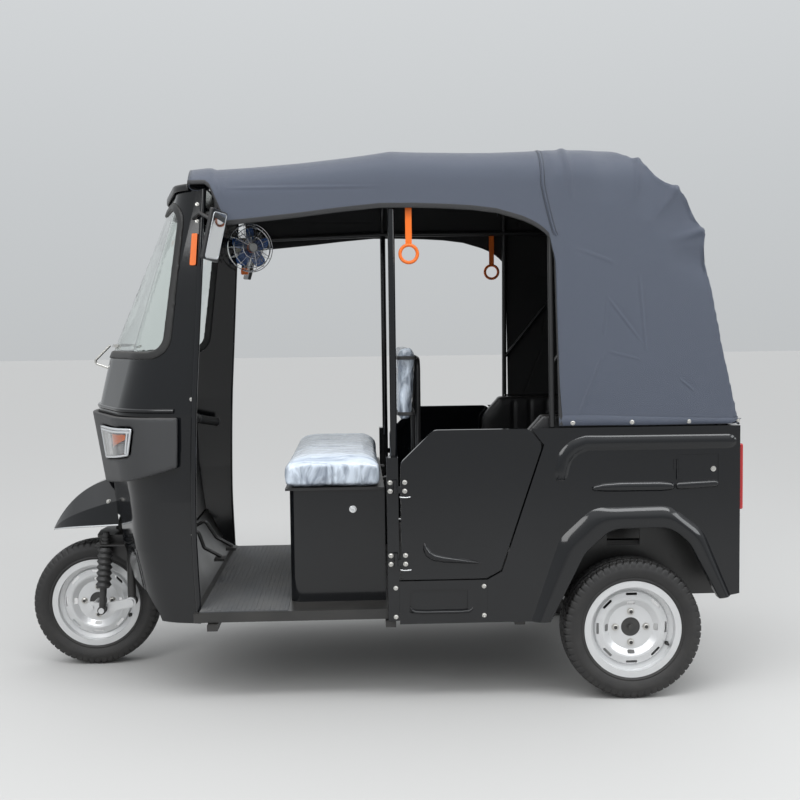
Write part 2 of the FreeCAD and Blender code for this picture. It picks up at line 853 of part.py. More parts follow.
def fender_solid(shrink, drop):
    wires = []
    for x, low, half, crease_half, crease_z, top_half, top_z in FENDER_SECTIONS:
        spots = [
            (-half + shrink, low - drop), (-crease_half + shrink, crease_z - shrink), (-top_half, top_z - shrink),
            (top_half, top_z - shrink), (crease_half - shrink, crease_z - shrink), (half - shrink, low - drop),
        ]
        points = [Vector(x - shrink, y, z) for y, z in spots]
        wires.append(Part.makePolygon(points + points[:1]))
    return Part.makeLoft(wires, True, False)


def front_fender():
    shell = fender_solid(0, 0).cut(fender_solid(size.fender_wall, 30))
    return shell.cut(cab_solid(size.running_gap)).cut(band_solid(size.running_gap))


shaped("front_fender", front_fender())


# Front fork: raked stem, crown over the tyre, two legs, each with a plate that holds a shock

CROWN_LOW = 2 * size.tyre_radius + size.crown_gap
CROWN_THICK = 12
SHOCK_Y = size.leg_y + size.shock_offset


def steering_fork():
    rear = size.pivot_x - 24
    front = size.shock_x + 18
    wide = size.leg_y + size.leg_radius
    crown = prism(
        [Vector(x, y, CROWN_LOW) for x, y in ((rear, -wide), (rear, wide), (front, wide), (front + 14, 0), (front, -wide))],
        (20, 20, 14, 80, 14), Vector(0, 0, CROWN_THICK))
    pieces = [
        steering_tube(-size.stem_drop, size.head_length + size.stem_rise, size.stem_radius),
        steering_tube(-size.stem_drop, -size.running_gap, size.head_radius),
        crown,
    ]
    plate_low = size.shock_plate_z - 6
    for side in (-1, 1):
        leg_y = side * size.leg_y
        pieces.append(rod((size.pivot_x, leg_y, size.pivot_z), (size.pivot_x, leg_y, CROWN_LOW + 2), size.leg_radius))
        pieces.append(rod((size.pivot_x, leg_y - size.leg_radius, size.pivot_z), (size.pivot_x, leg_y + size.leg_radius, size.pivot_z), 20))
        near, far = sorted((side * (size.leg_y - 4), side * (SHOCK_Y + 20)))
        plate = prism(
            [Vector(x, y, plate_low) for x, y in ((rear, near), (rear, far), (front, far), (front, near))],
            (8, 8, 8, 8), Vector(0, 0, 6))
        pieces.append(plate)
        wall_low, wall_high = sorted((leg_y + side * 2, leg_y + side * 8))
        gusset = ((rear + 12, CROWN_LOW + 2), (rear + 12, 413), (rear + 30, 413), (front - 6, plate_low), (front - 6, CROWN_LOW + 2))
        pieces.append(side_prism(gusset, (0, 6, 6, 18, 0), wall_low, wall_high))
    fork = fused(pieces)
    bolt_hole = size.pivot_bolt_radius + size.running_gap
    fork = fork.cut(rod((size.pivot_x, -200, size.pivot_z), (size.pivot_x, 200, size.pivot_z), bolt_hole))
    for side in (-1, 1):
        spot = shock_point(side, size.shock_length - 60)
        fork = fork.cut(Part.makeCylinder(size.shock_rod_radius + size.running_gap, 60, spot, SHOCK_WAY))
    return fork


SHOCK_WAY = Vector(-size.shock_lean, 0, size.shock_length).normalize()


def shock_point(side, rise):
    """The point of a shock's centre line that lies this far above its lower eye."""
    return Vector(size.shock_x, side * SHOCK_Y, size.shock_z) + SHOCK_WAY * rise


def link_arms():
    """Two leading links from the fork's pivots to the axle, with pivot bolts, shock bolts and the axle."""
    near = size.leg_y + size.leg_radius + size.running_gap
    far = near + size.link_thick
    pivot = (size.pivot_x, size.pivot_z)
    shock = (size.shock_x, size.shock_z)
    axle = (size.front_axle_x, size.tyre_radius)
    outline = (
        (pivot[0], pivot[1] + 17), (pivot[0], pivot[1] - 17), (shock[0], shock[1] - 18),
        (axle[0], axle[1] - 20), (axle[0], axle[1] + 20), (shock[0], shock[1] + 18),
    )
    pieces = []
    for side in (-1, 1):
        low_y, high_y = sorted((side * near, side * far))
        pieces.append(side_prism(outline, (0,) * 6, low_y, high_y))
        for spot, radius in ((pivot, 20), (shock, 18), (axle, 21)):
            pieces.append(rod((spot[0], low_y, spot[1]), (spot[0], high_y, spot[1]), radius))
        pin_start = side * (size.leg_y - 20)
        pin_end = side * (far + 10)
        pieces.append(rod((pivot[0], pin_start, pivot[1]), (pivot[0], pin_end, pivot[1]), size.pivot_bolt_radius))
        pieces.append(rod((pivot[0], side * far, pivot[1]), (pivot[0], pin_end, pivot[1]), 13))
        eye_end = side * (SHOCK_Y + 22)
        pieces.append(rod((shock[0], side * far, shock[1]), (shock[0], eye_end, shock[1]), 6))
        pieces.append(rod((shock[0], side * (SHOCK_Y + 16), shock[1]), (shock[0], eye_end, shock[1]), 11))
    reach = far + 9
    pieces.append(rod((axle[0], -reach, axle[1]), (axle[0], reach, axle[1]), size.axle_radius))
    return fused(pieces)


def front_shocks():
    """Lower tube with its eye, ribbed bellows, rod through the fork's plate and rubber buffer above it."""
    plate_rise = (size.shock_plate_z - size.shock_z) / SHOCK_WAY.z
    rings = int(size.bellows_rings)
    bellows_low = 88
    bellows_high = plate_rise - 12
    pitch = (bellows_high - bellows_low) / rings
    pieces = []
    for side in (-1, 1):
        def turned(low, high, radius):
            return Part.makeCylinder(radius, high - low, shock_point(side, low), SHOCK_WAY)

        column = [
            turned(12, bellows_low + 2, 13),
            turned(bellows_low, bellows_high, 21),
            turned(bellows_high - 2, size.shock_length, size.shock_rod_radius),
            turned(size.shock_length - 8, size.shock_length, 11),
        ]
        for ring in range(rings):
            low = shock_point(side, bellows_low + ring * pitch)
            column.append(Part.makeCone(22, size.bellows_radius, pitch * 0.5, low, SHOCK_WAY))
            column.append(Part.makeCone(size.bellows_radius, 22, pitch * 0.5, low + SHOCK_WAY * (pitch * 0.5), SHOCK_WAY))
        buffer_low = plate_rise + 2
        for ring in range(3):
            column.append(turned(buffer_low + ring * 14, buffer_low + ring * 14 + 9, 17 - ring * 2))
        column.append(turned(buffer_low, buffer_low + 40, 10))
        eye_near = side * (size.leg_y + size.leg_radius + size.link_thick + 2 * size.running_gap)
        eye_far = side * (SHOCK_Y + 16 - size.running_gap)
        eye = rod((size.shock_x, eye_near, size.shock_z), (size.shock_x, eye_far, size.shock_z), 16)
        hole = rod((size.shock_x, 0, size.shock_z), (size.shock_x, side * 300, size.shock_z), 6 + size.running_gap)
        pieces.append(fused(column + [eye]).cut(hole))
    return Part.makeCompound(pieces)


def handlebar():
    """Bar clamped to the stem's top, swept out and back to two grips, with the switch shroud over the clamp."""
    rise = size.head_length + size.stem_rise - 24
    clamp = on_steering_axis(rise)
    half = size.handle_half_width
    knee_y = half - 110
    left = [(clamp.x + 16, 70, clamp.z + 10), (clamp.x - 70, knee_y, clamp.z + 40), (clamp.x - 176, half, clamp.z + 12)]
    right = [(x, -y, z) for x, y, z in reversed(left)]
    pieces = [tube_path(right + left, size.tube_radius, 50)]
    for side in (-1, 1):
        end = Vector(left[2][0], side * half, left[2][2])
        knee = Vector(left[1][0], side * knee_y, left[1][2])
        way = (knee - end).normalize()
        pieces.append(Part.makeCylinder(size.grip_radius, 108, end - way * 8, way))
    pieces.append(Part.makeCylinder(size.head_radius + 8, 40, on_steering_axis(rise - 20), STEER_UP))
    shroud = prism(
        [Vector(clamp.x + x, y, clamp.z - 14) for x, y in ((-46, -70), (46, -104), (46, 104), (-46, 70))],
        (18, 24, 24, 18), Vector(0, 0, 44))
    pieces.append(shroud)
    whole = fused(pieces)
    return whole.cut(steering_tube(0, size.head_length + size.stem_rise + 40, size.stem_radius + size.running_gap))


shaped("steering_fork", steering_fork())
shaped("link_arms", link_arms())
shaped("front_shocks", front_shocks())
shaped("handlebar", handlebar())


# Door posts: a hinge pillar below and a round post up to the roof rail on each side

DOOR = (
    # x, z round the door's edge, from the lower front corner
    ("door_front_x", "door_bottom"),
    ("door_front_x", "door_top - 112"),
    ("door_front_x - 116", "door_top"),
    ("door_rear_x + 46", "door_top"),
    ("door_rear_x", "door_top - 56"),
    ("door_rear_x + 147", "door_bottom + 26"),
    ("door_rear_x + 199", "door_bottom"),
)


def pillar_hinges(side):
    """The pillar's leaves, their upper knuckles and the pins that the doors turn on."""
    outer = size.body_half_width
    axis_y = side * (outer + size.hinge_radius)
    pieces = []
    for low in (size.hinge_low, size.hinge_high):
        middle = low + size.hinge_height / 2
        high = low + size.hinge_height
        near, far = sorted((side * (outer - 3), side * (outer + size.hinge_plate)))
        pieces.append(block((size.hinge_x + 10, near, low), (size.post_x + 24, far, high)))
        pieces.append(block((size.hinge_x, near, middle + size.running_gap), (size.hinge_x + 12, far, high)))
        start = (size.hinge_x, axis_y, middle + size.running_gap)
        pieces.append(rod(start, (size.hinge_x, axis_y, high), size.hinge_radius))
        pieces.append(rod((size.hinge_x, axis_y, low + 1), (size.hinge_x, axis_y, high), size.hinge_pin_radius))
    return pieces


def door_posts():
    pillar_low = size.sill_bottom + 12
    outer = size.body_half_width - 2
    pieces = []
    for side in (-1, 1):
        low_y, high_y = sorted((side * size.pillar_inner, side * outer))
        pillar = block((size.post_x - 12, low_y, pillar_low), (size.post_x + 27, high_y, size.pillar_top))
        post = rod((size.post_x, side * size.post_y, size.pillar_top - 30), (size.post_x, side * size.post_y, size.post_top), size.post_radius)
        pieces.append(fused([pillar, post] + pillar_hinges(side)))
    return Part.makeCompound(pieces)


shaped("door_posts", door_posts())


# Doors: pressed panels with a returned rim inside, a pressed bead outside and two strap hinges

def door():
    body = side_body("door_left", DOOR, "body_half_width", "door_wall")

    def front_low(edge):
        return edge.CenterOfMass.x > size.door_front_x - 1 and edge.CenterOfMass.z < size.door_bottom + 1

    body.Tip = fillet_edges(body, body.Tip, "door_corner", lambda edge: along(edge, Vector(0, 1, 0)) and not front_low(edge))
    body.Tip = fillet_edges(body, body.Tip, "door_low_corner", lambda edge: along(edge, Vector(0, 1, 0)) and front_low(edge))
    rim = "door_rim"
    hollow = (
        ("door_front_x - %s" % rim, "door_bottom + %s" % rim),
        ("door_front_x - %s" % rim, "door_top - 112 - 13"),
        ("door_front_x - 116 - 13", "door_top - %s" % rim),
        ("door_rear_x + 46 + 14", "door_top - %s" % rim),
        ("door_rear_x + 32", "door_top - 56 - 11"),
        ("door_rear_x + 147 + 20", "door_bottom + 26 + 16"),
        ("door_rear_x + 199 + 4", "door_bottom + %s" % rim),
    )
    inside = new_sketch(body, "hollow", "XZ_Plane", "-(body_half_width - door_wall)")
    draw_outline(inside, hollow)
    pocket(body, inside, "door_wall - door_skin")
    return body



def add_door_hinges(body):
    """Strap hinges: a leaf on the door's face and the lower knuckle round the pin."""
    for name, low in (("low", "hinge_low"), ("high", "hinge_high")):
        leaf = new_sketch(body, name + "_leaf", "XY_Plane", low)
        draw_outline(leaf, (
            ("door_front_x - hinge_leaf", "body_half_width"),
            ("door_front_x", "body_half_width"),
            ("door_front_x", "body_half_width + hinge_plate"),
            ("door_front_x - hinge_leaf", "body_half_width + hinge_plate"),
        ))
        pad(body, leaf, "hinge_height")
        knuckle = new_sketch(body, name + "_knuckle", "XY_Plane", low)
        draw_circle(knuckle, "hinge_x", "body_half_width + hinge_radius", "hinge_radius")
        pad(body, knuckle, "hinge_height / 2 - running_gap")
        tongue = new_sketch(body, name + "_tongue", "XY_Plane", low)
        draw_outline(tongue, (
            ("door_front_x - 4", "body_half_width"),
            ("hinge_x", "body_half_width"),
            ("hinge_x", "body_half_width + hinge_plate"),
            ("door_front_x - 4", "body_half_width + hinge_plate"),
        ))
        pad(body, tongue, "hinge_height / 2 - running_gap")
        bore = new_sketch(body, name + "_bore", "XY_Plane", "%s + hinge_height" % low)
        draw_circle(bore, "hinge_x", "body_half_width + hinge_radius", "hinge_pin_radius + running_gap")
        pocket(body, bore, "hinge_height + 1")


left_door = door()
add_door_hinges(left_door)
mirrored("door_right", left_door)


# Rocker panels under the doors, with a pressed recess

def rocker():
    body = side_body("rocker_left", (
        ("post_x - 12 - seam_gap", "sill_bottom"),
        ("post_x - 12 - seam_gap", "door_bottom - clear_gap"),
        ("door_rear_x + 194 + seam_gap", "door_bottom - clear_gap"),
        ("door_rear_x + 194 + seam_gap", "sill_bottom"),
    ), "body_half_width", "panel_wall")
    side_pocket(body, "recess", (
        ("post_x - 45", "sill_bottom + 42"),
        ("post_x - 49", "sill_bottom + 114"),
        ("post_x - 62", "sill_bottom + 120"),
        ("door_rear_x + 276", "sill_bottom + 120"),
        ("door_rear_x + 263", "sill_bottom + 114"),
        ("door_rear_x + 263", "sill_bottom + 46"),
        ("door_rear_x + 271", "sill_bottom + 38"),
        ("post_x - 53", "sill_bottom + 38"),
    ), "body_half_width", "recess_depth")
    return body


mirrored("rocker_right", rocker())


# Rear body sides: each panel has its wheel arch, two pressed beads and the recess of the charging lid

ARCH_INNER = ((-294, 360), (-189, 557), (-124, 612), (83, 612), (176, 529), (297, 290))
ARCH_OUTER = ((-337, 367), (-239, 599), (-124, 687), (147, 684), (261, 580), (362, 290))
UPPER_BEAD = (
    (276, 782), (263, 842), (231, 892), (174, 925), (-350, 925), (-350, 904),
    (-330, 892), (168, 892), (209, 868), (231, 835), (243, 782),
)
LOWER_BEAD = ((144, 752), (96, 766), (-100, 766), (-132, 758), (-132, 750), (96, 744), (122, 744))
LOWER_BEAD_REAR = ((-148, 749), (-148, 762), (-288, 768), (-288, 757))


def on_arch(points):
    """Points beside the rear axle, as expressions."""
    return tuple(("rear_x + %s" % x, str(z)) for x, z in points)


FLAP_AXIS_Y = "body_half_width + flap_pin_radius * 2"


def flap_hinge(body, name, low, leaf_start, leaf_end, with_pin):
    """Half of the charging lid's hinge: a leaf on the face and a knuckle, with the pin or its bore."""
    length = "flap_height / 2 - 16"
    leaf = new_sketch(body, name + "_leaf", "XY_Plane", low)
    draw_outline(leaf, (
        ("flap_axis_x", "body_half_width + seam_gap"), (leaf_start, "body_half_width + seam_gap"),
        (leaf_start, "body_half_width - 1"), (leaf_end, "body_half_width - 1"),
        (leaf_end, "body_half_width + 2"), ("flap_axis_x", "body_half_width + 2"),
    ))
    pad(body, leaf, length)
    knuckle = new_sketch(body, name + "_knuckle", "XY_Plane", low)
    draw_circle(knuckle, "flap_axis_x", FLAP_AXIS_Y, "flap_pin_radius * 2 - seam_gap")
    pad(body, knuckle, length)
    pin = new_sketch(body, name + "_pin", "XY_Plane", "flap_low + 16")
    if with_pin:
        draw_circle(pin, "flap_axis_x", FLAP_AXIS_Y, "flap_pin_radius")
        pad(body, pin, "flap_height - 32")
    else:
        draw_circle(pin, "flap_axis_x", FLAP_AXIS_Y, "flap_pin_radius + running_gap")
        bore = pocket(body, pin, "flap_height - 32", flip=True)


def side_panel(label, with_flap):
    front = "door_rear_x + 194"
    body = side_body(label, (
        (front, "sill_bottom"),
        (front, "door_bottom - clear_gap"),
        ("door_rear_x + 142", "door_bottom + 22"),
        ("door_rear_x - clear_gap", "door_top - 57"),
        ("door_rear_x + 39", "body_top"),
        ("body_rear_x", "body_top"),
        ("body_rear_x", "sill_bottom + 84"),
    ) + on_arch(ARCH_INNER), "body_half_width", "panel_wall")
    for name, points in (("upper", UPPER_BEAD), ("lower", LOWER_BEAD), ("lower_rear", LOWER_BEAD_REAR)):
        bead = new_sketch(body, name + "_bead", "XZ_Plane", "-body_half_width + 1")
        draw_outline(bead, on_arch(points))
        raised = pad(body, bead, "bead_stand + 1")
        raised.Reversed = True
        raised.TaperAngle = -35
    if not with_flap:
        return body
    flap = (
        ("flap_front_x + running_gap", "flap_low - running_gap"),
        ("flap_front_x + running_gap", "flap_low + flap_height + running_gap"),
        ("flap_front_x - flap_width - running_gap * 3", "flap_low + flap_height + running_gap"),
        ("flap_front_x - flap_width - running_gap * 3", "flap_low - running_gap"),
    )
    side_pocket(body, "flap_recess", flap, "body_half_width", "flap_depth")
    flap_hinge(body, "upper", "flap_low + flap_height / 2 + running_gap", "flap_front_x + 5", "flap_front_x + 16", True)
    return body


side_panel("side_panel_left", True)
mirrored("side_panel_right", side_panel("side_panel_form", False))


def charge_flap():
    """Lid over the charging socket, hinged along its front edge."""
    body = side_body("charge_flap", (
        ("flap_front_x", "flap_low"),
        ("flap_front_x", "flap_low + flap_height"),
        ("flap_front_x - flap_width", "flap_low + flap_height"),
        ("flap_front_x - flap_width", "flap_low"),
    ), "body_half_width", "flap_wall")
    flap_hinge(body, "lower", "flap_low + 16", "flap_front_x - 1", "flap_front_x - 16", False)
    return body


charge_flap()


def arch_flare():
    body = side_body("arch_flare_left", on_arch(ARCH_INNER) + on_arch(ARCH_OUTER)[::-1],
                     "body_half_width + flare_stand", "flare_stand - seam_gap")
    bends = fillet_edges(body, body.Tip, "flare_bend", lambda edge: along(edge, Vector(0, 1, 0))
                         and 400 < edge.CenterOfMass.z < 700)
    body.Tip = bends
    face_y = size.body_half_width + size.flare_stand

    def upper_edge(edge):
        return all(abs(vertex.Y - face_y) < 0.01 for vertex in edge.Vertexes) and edge.CenterOfMass.z > 300

    rounded = fillet_edges(body, bends, "flare_round", upper_edge)
    body.Tip = rounded
    return body


mirrored("arch_flare_right", arch_flare())


# Rear panel, tail lamps and the rear axle with its motor, springs and shackles

def rear_panel():
    body = new_body("rear_panel")
    sketch = new_sketch(body, "outline", "YZ_Plane", "body_rear_x")
    half = "body_half_width - panel_wall - seam_gap"
    draw_outline(sketch, (
        ("-(%s)" % half, "sill_bottom + 84"), (half, "sill_bottom + 84"),
        (half, "body_top"), ("-(%s)" % half, "body_top"),
    ))
    pad(body, sketch, "panel_wall")
    lid = new_sketch(body, "pressing", "YZ_Plane", "body_rear_x")
    draw_outline(lid, (("-380", "body_top - 330"), ("380", "body_top - 330"), ("350", "body_top - 90"), ("-350", "body_top - 90")))
    pocket(body, lid, "recess_depth", flip=True)
    return body


rear_panel()


def tail_lamps():
    pieces = []
    for side in (-1, 1):
        low_y, high_y = sorted((side * (size.body_half_width - 12), side * (size.body_half_width - 92)))
        face = size.body_rear_x - size.seam_gap
        lamp = block((face - size.lamp_stand + size.seam_gap, low_y, size.lamp_low), (face, high_y, size.lamp_high))
        pieces.append(lamp.makeFillet(6, [edge for edge in lamp.Edges if edge.CenterOfMass.x < face - 2]))
    return Part.makeCompound(pieces)


shaped("tail_lamps", tail_lamps())


def rear_axle():
    """Motor and gearbox as one plain block, axle tubes and the stub shafts in the hubs."""
    x, z = size.rear_x, size.tyre_radius
    reach = size.track_half - size.drum_back - 4
    motor = block((x - 90, -size.motor_half, z - 84), (x + 90, size.motor_half, z + 84))
    motor = motor.makeFillet(18, motor.Edges)
    pieces = [
        motor,
        rod((x, -reach, z), (x, reach, z), size.axle_tube),
        rod((x, -size.track_half - size.disc_y - 8, z), (x, size.track_half + size.disc_y + 8, z), size.axle_radius),
    ]
    for side in (-1, 1):
        pieces.append(rod((x, side * (reach - 5), z), (x, side * reach, z), size.axle_tube + 22))
        seat_y = side * size.frame_half_width
        pieces.append(block((x - 40, seat_y - 30, z), (x + 40, seat_y + 30, z + size.axle_tube)))
    return fused(pieces)


def rear_springs():
    """Leaf packs on the axle, hung from the rails by eyes."""
    seat = size.tyre_radius + size.axle_tube + size.running_gap
    x = size.rear_x
    pieces = []
    for side in (-1, 1):
        mid_y = side * size.frame_half_width
        low_y = mid_y - size.leaf_width / 2
        high_y = mid_y + size.leaf_width / 2
        leaves = []
        for leaf in range(int(size.leaf_count)):
            half = size.spring_half * (1 - 0.24 * leaf)
            low = seat + (size.leaf_count - 1 - leaf) * size.leaf_thick
            rise = size.spring_rise * (half / size.spring_half) ** 2
            lower = Part.Arc(Vector(x - half, low_y, low + rise), Vector(x, low_y, low), Vector(x + half, low_y, low + rise))
            upper = Part.Arc(Vector(x + half, low_y, low + rise + size.leaf_thick), Vector(x, low_y, low + size.leaf_thick),
                             Vector(x - half, low_y, low + rise + size.leaf_thick))
            rim_edges = [
                lower.toShape(), Part.LineSegment(lower.EndPoint, upper.StartPoint).toShape(),
                upper.toShape(), Part.LineSegment(upper.EndPoint, lower.StartPoint).toShape(),
            ]
            leaves.append(Part.Face(Part.Wire(rim_edges)).extrude(Vector(0, high_y - low_y, 0)))
        eye_z = seat + size.spring_rise + (size.leaf_count - 1) * size.leaf_thick + 6
        for end in (-1, 1):
            eye_x = x + end * size.spring_half
            leaves.append(rod((eye_x, low_y, eye_z), (eye_x, high_y, eye_z), 15))
            leaves.append(block((eye_x - 9, low_y + 8, eye_z), (eye_x + 9, high_y - 8, size.kick_bottom - size.running_gap)))
        pieces.append(fused(leaves))
    return Part.makeCompound(pieces)


shaped("rear_axle", rear_axle())
shaped("rear_springs", rear_springs())
shaped("battery_block", block(
    (size.bench_front_x + 60, -240, size.rail_bottom + size.rail_height + size.seam_gap),
    (size.post_x - 40, 240, size.rear_floor_top - size.sheet_wall - 2)))


# Driver's seat: locked box, hinged lid with its cushion, backrest on a bent tube

def seat_box():
    body = new_body("seat_box")
    sketch = new_sketch(body, "outline", "XY_Plane", "floor_top")
    draw_outline(sketch, (
        ("box_rear_x", "-box_half_width"), ("box_front_x", "-box_half_width"),
        ("box_front_x", "box_half_width"), ("box_rear_x", "box_half_width"),
    ))
    solid = pad(body, sketch, "box_top - floor_top")
    corners = fillet_edges(body, solid, "box_corner", lambda edge: along(edge, Vector(0, 0, 1))
                           and edge.CenterOfMass.x > 0)
    body.Tip = corners
    well = new_sketch(body, "well", "XY_Plane", "box_top")
    draw_outline(well, (
        ("box_rear_x + sheet_wall", "-box_half_width + box_corner"),
        ("box_rear_x + sheet_wall", "box_half_width - box_corner"),
        ("box_front_x - box_corner", "box_half_width - box_corner + 0.7 * box_corner"),
        ("box_front_x - 0.3 * box_corner", "box_half_width - box_corner"),
        ("box_front_x - 0.3 * box_corner", "-box_half_width + box_corner"),
        ("box_front_x - box_corner", "-box_half_width + box_corner - 0.7 * box_corner"),
    ))
    pocket(body, well, "box_top - floor_top - sheet_wall")
    return body


seat_box()


def lid_lugs():
    """Lugs on the box's rear wall that carry the lid's hinge pins."""
    pieces = []
    for side in (-1, 1):
        near, far = sorted((side * 150, side * 179))
        post = block((size.lid_hinge_x - 5, near, size.lid_hinge_z - 30), (size.lid_hinge_x + 4.5, far, size.lid_hinge_z + 4))
        foot = block((size.lid_hinge_x - 5, near, size.lid_hinge_z - 30),
                     (size.box_rear_x - size.seam_gap, far, size.lid_hinge_z - 14))
        start = (size.lid_hinge_x, side * 150, size.lid_hinge_z)
        pieces.append(fused([post, foot, rod(start, (size.lid_hinge_x, side * 208, size.lid_hinge_z), 3)]))
    return pieces


def seat_lid():
    low = size.box_top + size.running_gap
    board = block((size.box_rear_x + 1, -size.cushion_half_width + 14, low),
                  (size.cushion_front_x - 14, size.cushion_half_width - 14, low + size.lid_thick))
    pieces = [board]
    for side in (-1, 1):
        near, far = sorted((side * 180, side * 207))
        pieces.append(rod((size.lid_hinge_x, near, size.lid_hinge_z), (size.lid_hinge_x, far, size.lid_hinge_z), 6))
        pieces.append(block((size.lid_hinge_x, near, size.lid_hinge_z - 1), (size.box_rear_x + 2, far, size.lid_hinge_z + 5)))
    lid = fused(pieces)
    return lid.cut(rod((size.lid_hinge_x, -260, size.lid_hinge_z), (size.lid_hinge_x, 260, size.lid_hinge_z), 3 + size.running_gap))


shaped("seat_lid", seat_lid())
shaped("lid_hinge_lugs", Part.makeCompound(lid_lugs()))


def rounded_block(low, high, radius):
    """A soft block with its four upright corners and its top edges rounded."""
    solid = block(low, high)
    top = [edge for edge in solid.Edges if edge.CenterOfMass.z > low[2] + 1]
    return solid.makeFillet(radius, top)


CUSHION_LOW = size.box_top + size.lid_thick + 2 * size.running_gap
shaped("driver_cushion", rounded_block(
    (size.box_rear_x + 2, -size.cushion_half_width, CUSHION_LOW),
    (size.cushion_front_x, size.cushion_half_width, CUSHION_LOW + size.cushion_thick), 22))
BACK_REAR = size.backrest_x - size.backrest_thick
shaped("driver_backrest", rounded_block(
    (BACK_REAR, -size.backrest_half, size.backrest_low), (size.backrest_x, size.backrest_half, size.backrest_high), 18))
tube_x = BACK_REAR - size.tube_radius - size.running_gap
shaped("backrest_frame", tube_path((
    (tube_x, -170, size.rear_floor_top + size.running_gap), (tube_x, -170, size.backrest_high - 60),
    (tube_x, 170, size.backrest_high - 60), (tube_x, 170, size.rear_floor_top + size.running_gap)),
    size.tube_radius, 50))


# Passengers' bench: cushion on the deck, back that wraps forward along both sides

def bench_back():
    low = size.deck_top + size.running_gap
    inside = size.bench_half
    rear = size.body_rear_x + size.panel_wall + 2
    outer = prism([Vector(x, y, low) for x, y in ((rear, -inside), (size.wing_front_x, -inside), (size.wing_front_x, inside), (rear, inside))],
                  (0, 0, 0, 0), Vector(0, 0, size.bench_back_top - low))
    hollow = prism([Vector(x, y, low - 1) for x, y in (
        (size.bench_back_x, -inside + size.wing_thick), (0, -inside + size.wing_thick),
        (0, inside - size.wing_thick), (size.bench_back_x, inside - size.wing_thick))],
        (22, 0, 0, 22), Vector(0, 0, size.bench_back_top - low + 2))
    front_cut = across(((size.wing_front_x - 90, 2000), (size.wing_front_x - 90, size.bench_back_top),
                        (size.wing_front_x - 10, size.bench_back_top - 90), (size.wing_front_x + 5, size.deck_top - 20),
                        (400, size.deck_top - 20), (400, 2000)), (0, 60, 90, 0, 0, 0))
    below = block((size.bench_front_x, -700, low - 2), (400, 700, low + 1))
    return outer.cut(hollow).cut(front_cut).cut(below)


shaped("bench_back", bench_back())
bench_y = size.bench_half - size.wing_thick - 1
shaped("bench_cushion", rounded_block(
    (size.bench_back_x + 1, -bench_y, size.deck_top + size.running_gap),
    (size.bench_front_x + 16, bench_y, size.deck_top + size.bench_thick), 24))


# Canopy: one coated cloth hood over bows, with the side openings cut

CANOPY_SECTIONS = (
    # x, half width at the bottom, half width at the shoulder, shoulder z, crown z
    (598, 588, 556, 1862, 1908),
    (-107, 636, 602, 1925, 1972),
    (-1300, 636, 602, 1925, 1972),
)
CANOPY_PROFILE = (
    # x, z of the hood's back from the first hoop down to the hem
    (-735, 2100), (-735, 1972), (-880, 1930), (-1007, 1890), (-1069, 1828), (-1146, 1785),
    (-1214, 1645), (-1217, 1554), (-1252, 1255), (-1300, 985), (-1300, 800), (900, 800), (900, 2100),
)
SIDE_OPENING = (
    (-673, 800), (-665, 1295), (-656, 1608), (-581, 1666), (-463, 1706), (-288, 1720), (-58, 1727),
    (222, 1696), (468, 1673), (520, 1800), (530, 1812), (900, 1812), (900, 800),
)


def canopy_section(row, shrink, x):
    low_half, shoulder_half, shoulder_z, crown_z = row[1:]
    bottom = size.canopy_bottom - 2 * shrink
    points = [Vector(x, y, z) for y, z in (
        (-low_half + shrink, bottom), (-shoulder_half + shrink, shoulder_z - shrink), (0, crown_z - shrink),
        (shoulder_half - shrink, shoulder_z - shrink), (low_half - shrink, bottom))]
    return fillet_outline(points, (0, size.shoulder_bend - shrink, 1500, size.shoulder_bend - shrink, 0))


def canopy_solid(shrink):
    wires = [canopy_section(row, shrink, row[0] + (shrink if row[0] > 0 else 0)) for row in CANOPY_SECTIONS]
    arch = Part.makeLoft(wires, True, True)
    points = [(x + shrink if x < 0 else x, z - (shrink if 1000 < z < 2000 else 0)) for x, z in CANOPY_PROFILE]
    return arch.common(across(points, (0,) * len(points)))


def canopy():
    shell = canopy_solid(0).cut(canopy_solid(size.canopy_wall))
    shell = shell.cut(across(SIDE_OPENING, (0, 0, 60, 90, 120, 120, 200, 200, 0, 0, 0, 0, 0)))
    front = CANOPY_SECTIONS[0]
    roll_rear = front[0] - size.roll_length
    wide = [canopy_section(front, -8, x) for x in (roll_rear, front[0])]
    narrow = [canopy_section(front, size.roll_thick - 8, x) for x in (roll_rear - 1, front[0] + 1)]
    roll = Part.makeLoft(wide, True, True).cut(Part.makeLoft(narrow, True, True))
    roll = roll.common(block((0, -900, size.roll_low), (900, 900, 2100)))
    return fused([shell, roll])


shaped("canopy", canopy())


